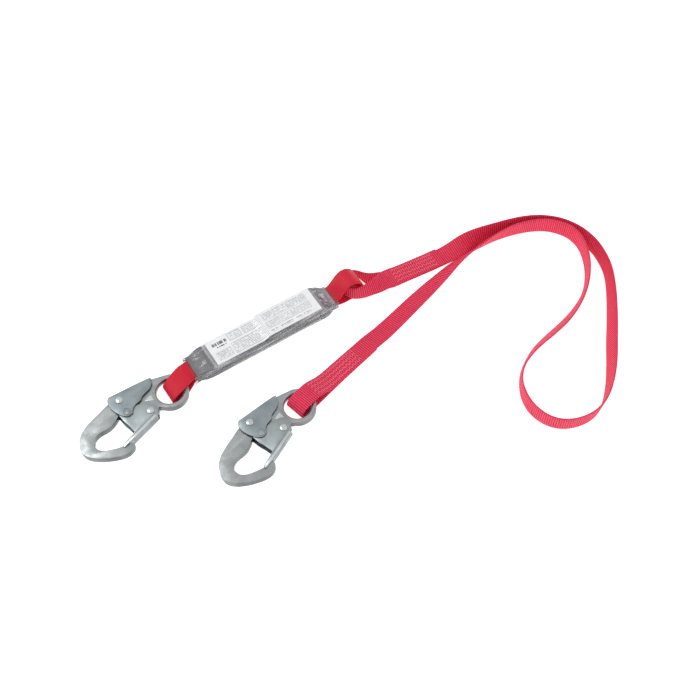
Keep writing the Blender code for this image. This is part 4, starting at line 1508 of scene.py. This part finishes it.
    def _lay(self, piece: bpy.types.Object, body: Body, slot: Slot, *nodes: str) -> None:
        """Move a piece to its place and settle it on its body, in place of the hook's named nodes."""
        piece.data.transform(self.place)
        settle(piece, body, slot, *(f"{self.body.value}_{node}" for node in nodes))

    def _outline(self, points: Outline, per_span: int = 5) -> list[tuple[float, float]]:
        """Return an outline in metres, rounded between its corners."""
        return [(x * MM, y * MM) for x, y in smooth_outline(points, per_span)]

    def _tool(self, part: str, bm: bmesh.types.BMesh) -> bpy.types.Object:
        """Turn a bmesh into a carving tool."""
        return self._finish(f"{part}_tool", bm, STEEL_FRAME)

    def _frame(self) -> None:
        """Make the forged frame with its rounded bow, webbing eye and stamped rib."""
        from_angle, to_angle, step = -138, 78, 9
        ring = [(self.eye_ring / MM * math.cos(math.radians(a)), self.eye_ring / MM * math.sin(math.radians(a)))
                for a in range(from_angle, to_angle, step)]
        half = self.frame_thick / 2
        bm = bmesh.new()
        rims = plate(bm, self._outline([*ring, *self.frame_outline]), -half, half)
        round_edges(bm, rims, self.frame_round, 4)
        frame = self._finish("frame_forging", bm, STEEL_FRAME)
        tools = [self._eye_tool(half)]
        hole, pocket, floor = self.rivet_hole, self.pocket_radius, self.pocket_floor
        for part in Moving:
            bm = bmesh.new()
            turned(bm, ((0.0, -2 * half), (hole, -2 * half), (hole, floor), (pocket, floor), (pocket, 2 * half),
                        (0.0, 2 * half)), 32, self._pivot(part))
            tools.append(self._tool(f"{part.value}_bore", bm))
        carve(frame, tools)
        self._lay(frame, self.body, Slot.STEEL, "frame")
        bm = bmesh.new()
        twin_plates(bm, self._outline(self.rib_outline, 3), half - 0.2 * MM, half + 0.45 * MM)
        round_edges(bm, rim_edges(bm), 0.25 * MM, 2)
        # Painted highlight: the stamped rib takes the brighter rivet steel so it reads as a lit facet.
        self._lay(self._finish("frame_rib", bm, STEEL_RIVET_AND_HIGHLIGHT), self.body, Slot.STEEL)

    def _eye_tool(self, half: float) -> bpy.types.Object:
        """Make the tool that opens the webbing eye and leaves its edges round.

        Args:
            half: Half the frame's thickness.

        Returns:
            The tool.
        """
        fillet, side = self.eye_round, []
        for k in range(7):
            angle = math.radians(90 * k / 6)
            side.append((self.eye_hole + fillet - fillet * math.cos(angle), half - fillet + fillet * math.sin(angle)))
        side.append((self.eye_hole + fillet, half + 2 * MM))
        profile = [(0.0, -half - 2 * MM), *[(r, -z) for r, z in reversed(side)], *side, (0.0, half + 2 * MM)]
        bm = bmesh.new()
        turned(bm, profile, 72, Vector((0, 0, 0)))
        return self._tool("eye", bm)

    def _channel(self, part: Moving, outline: Outline, slot: Outline, steel: SteelFinish) -> None:
        """Make a folded sheet-steel channel: two plates and the back wall between them.

        Args:
            part: The gate or the lever.
            outline: Outline of the plates, in millimetres.
            slot: Outline of the room between them.
            steel: Its finish.
        """
        half = self._half(part)
        bm = bmesh.new()
        rims = plate(bm, self._outline(outline, 4), -half, half)
        round_edges(bm, rims, self.sheet_round, 3)
        piece = self._finish(f"{part.value}_channel", bm, steel)
        bm = bmesh.new()
        inner = half - self.sheet
        plate(bm, [(x * MM, y * MM) for x, y in slot], -inner, inner)
        tools = [self._tool(f"{part.value}_slot", bm)]
        bm = bmesh.new()
        turned(bm, ((0.0, -2 * half), (self.rivet_hole, -2 * half), (self.rivet_hole, 2 * half), (0.0, 2 * half)), 32,
               self._pivot(part))
        tools.append(self._tool(f"{part.value}_hole", bm))
        bm = bmesh.new()
        if part is Moving.GATE:
            self._strip(bm, *self.groove, 0.6, half - 0.45 * MM, half + 1 * MM)
        else:
            centre, corners = spot_at(self.catch), 40
            ring = [(centre.x + self.dish_radius * math.cos(math.tau * k / corners),
                     centre.y + self.dish_radius * math.sin(math.tau * k / corners)) for k in range(corners)]
            twin_plates(bm, ring, half - 0.4 * MM, half + 1 * MM)
        tools.append(self._tool(f"{part.value}_groove", bm))
        carve(piece, tools)
        self._lay(piece, self._rider(part), Slot.STEEL, part.value)

    def _strip(self, bm: bmesh.types.BMesh, start: tuple[float, float], end: tuple[float, float], width: float,
               low: float, high: float) -> None:
        """Add a straight raised strip, and its twin on the other face of the hook.

        Args:
            bm: The mesh to add to.
            start: First end of its middle line, in millimetres.
            end: Other end.
            width: Its width, in millimetres.
            low: Height of its lower face, in metres.
            high: Height of its upper face.
        """
        along = (Vector(end) - Vector(start)).normalized()
        side = Vector((-along.y, along.x)) * width / 2
        corners = [Vector(start) - side, Vector(end) - side, Vector(end) + side, Vector(start) + side]
        twin_plates(bm, [(c.x * MM, c.y * MM) for c in corners], low, high)

    def _bar_beads(self) -> None:
        """Make the rolled bead along the gate's bar, on both faces, in the brighter rivet steel as a painted highlight.
        """
        bm = bmesh.new()
        self._strip(bm, *self.bead, 2.3, self.gate_half - 0.2 * MM, self.gate_half + 0.38 * MM)
        round_edges(bm, rim_edges(bm), 0.3 * MM, 3)
        self._lay(self._finish("gate_bar_bead", bm, STEEL_RIVET_AND_HIGHLIGHT), self.gate_body, Slot.STEEL)

    def _rivet(self, part: Moving) -> None:
        """Make one domed rivet."""
        half = self._half(part)
        seat = half + 0.35 * MM
        dome = [(self.dome_radius * math.cos(math.radians(a)),
                 seat + 0.3 * MM + (self.dome_rise - 0.65 * MM) * math.sin(math.radians(a)))
                for a in range(0, 90, 12)]
        upper = [(self.rivet_radius, 0.0), (self.rivet_radius, seat), (self.dome_radius - 0.2 * MM, seat), *dome,
                 (0.0, half + self.dome_rise)]
        profile = [(r, -z) for r, z in reversed(upper)][:-1] + upper[1:]
        bm = bmesh.new()
        turned(bm, profile, 40, self._pivot(part))
        self._lay(self._finish(f"{part.value}_rivet_turned", bm, STEEL_RIVET_AND_HIGHLIGHT), self.body, Slot.STEEL,
                  f"{part.value}_rivet")

    def _spring(self, part: Moving) -> None:
        """Make the coil spring in one pocket of the frame."""
        wire, turn_steps, around = self.spring_wire, 28, 8
        rings = int(self.spring_turns * turn_steps) + 1
        start, pivot = 0.9 * MM + wire, self._pivot(part)

        def place(i: int, k: int) -> Vector:
            """Return point k of ring i of the wire."""
            angle, ring_angle = 2 * math.pi * i / turn_steps, 2 * math.pi * k / around
            out = Vector((math.cos(angle), math.sin(angle), 0.0))
            rise = start + self.spring_pitch * i / turn_steps
            middle = Vector((pivot.x, pivot.y, rise)) + out * self.spring_radius
            return middle + (out * math.cos(ring_angle) + Vector((0, 0, 1)) * math.sin(ring_angle)) * wire

        bm = bmesh.new()
        grid_tube(bm, rings, around, place)
        self._lay(self._finish(f"{part.value}_spring_coil", bm, STEEL_SPRING), self.body, Slot.SPRING,
                  f"{part.value}_spring")

    def _catch_bumps(self) -> None:
        """Press the half-moon catch bump into both plates of the lever."""
        bm = bmesh.new()
        centre = spot_at(self.catch)
        shape = Matrix.Diagonal((self.bump_radius, self.bump_radius, self.bump_rise, 1.0))
        for side in (-1, 1):
            base = Matrix.Translation(centre + Vector((0, 0, side * (self.lock_half - 0.05 * MM))))
            bmesh.ops.create_uvsphere(bm, u_segments=28, v_segments=14, radius=1.0, matrix=base @ shape)
        half_moon = bmesh.ops.bisect_plane(bm, geom=[*bm.verts, *bm.edges, *bm.faces], plane_co=centre,
                                           plane_no=Vector((0.35, -0.94, 0)), clear_inner=True)
        bmesh.ops.holes_fill(bm, edges=[e for e in half_moon["geom_cut"] if isinstance(e, bmesh.types.BMEdge)])
        # Painted highlight: the bumps take the frame's brighter steel, not the lever's own, so they read as a lit ring.
        self._lay(self._finish("lock_catch_bumps", bm, STEEL_FRAME), self.lock_body, Slot.STEEL)


@dataclass(frozen=True)
class Softbox:
    """A square soft light that is aimed at the lanyard."""

    name: str
    place: tuple[float, float, float]
    size: float
    power: float


@dataclass
class Studio:
    """Plain pale floor, soft light and the camera."""

    target: tuple[float, float, float] = (0.075, -0.070, 0.0)
    azimuth: float = -33.0
    elevation: float = 60.0
    distance: float = 1.4
    lens: float = 63.15
    lights: tuple[Softbox, ...] = (Softbox("key_softbox", (-0.9, 0.9, 1.9), 1.2, 15.0),
                                   Softbox("fill_softbox", (1.3, -1.1, 1.6), 1.8, 6.0))
    room_light: float = 0.72
    floor_half: float = 4.0
    floor_paint: float = 0.93
    floor_glow: float = 0.75

    def build(self) -> None:
        """Set up the camera, the lights and the floor."""
        self._camera()
        bpy.context.scene.view_settings.view_transform = "Standard"
        for softbox in self.lights:
            self._light(softbox)
        self._room()
        self._floor()

    def _camera(self) -> None:
        """Place the camera."""
        aim = Vector(self.target)
        turn, rise = math.radians(self.azimuth), math.radians(self.elevation)
        out = Vector((math.cos(rise) * math.sin(turn), -math.cos(rise) * math.cos(turn), math.sin(rise)))
        data = bpy.data.cameras.new("studio_camera")
        data.lens, data.sensor_width, data.clip_end = self.lens, 36.0, 50.0
        camera = bpy.data.objects.new("studio_camera", data)
        camera.location = aim + out * self.distance
        camera.rotation_euler = (-out).to_track_quat("-Z", "Y").to_euler()
        bpy.context.scene.collection.objects.link(camera)
        bpy.context.scene.camera = camera

    def _light(self, softbox: Softbox) -> None:
        """Add one square softbox."""
        data = bpy.data.lights.new(softbox.name, "AREA")
        data.size, data.energy = softbox.size, softbox.power
        lamp = bpy.data.objects.new(softbox.name, data)
        lamp.location = softbox.place
        lamp.rotation_euler = (Vector(self.target) - Vector(softbox.place)).to_track_quat("-Z", "Y").to_euler()
        bpy.context.scene.collection.objects.link(lamp)

    def _room(self) -> None:
        """Fill the room with even white light."""
        world = bpy.data.worlds.new("pale_room")
        world.use_nodes = True
        background = world.node_tree.nodes["Background"]
        background.inputs[0].default_value = (1.0, 1.0, 1.0, 1.0)
        background.inputs[1].default_value = self.room_light
        bpy.context.scene.world = world

    def _floor(self) -> None:
        """Lay the pale floor."""
        bm = bmesh.new()
        bmesh.ops.create_grid(bm, x_segments=1, y_segments=1, size=self.floor_half)
        material, _, shader = start_material("pale_floor")
        shader.inputs["Base Color"].default_value = (*[self.floor_paint] * 3, 1.0)
        shader.inputs["Roughness"].default_value = 0.9
        shader.inputs["Specular IOR Level"].default_value = 0.1
        shader.inputs["Emission Color"].default_value = (1.0, 1.0, 1.0, 1.0)
        shader.inputs["Emission Strength"].default_value = self.floor_glow
        floor = finish_mesh("studio_floor", bm, material, recalculate=False)


def main() -> None:
    """Build the lanyard round its frame."""
    logging.basicConfig(level=logging.INFO, format="%(name)s: %(message)s")
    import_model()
    Studio().build()
    finishes = Finishes()
    WebbingLeg(finishes).build()
    EnergyPack(finishes).build()
    SnapHook(finishes, Body.HOOK_1, Body.GATE_1, Body.LOCK_1, (-125.0 * MM, -12.0 * MM), 0.0).build()
    SnapHook(finishes, Body.HOOK_2, Body.GATE_2, Body.LOCK_2, (-16.3 * MM, -104.6 * MM), 9.0).build()


if __name__ == "__main__":
    main()
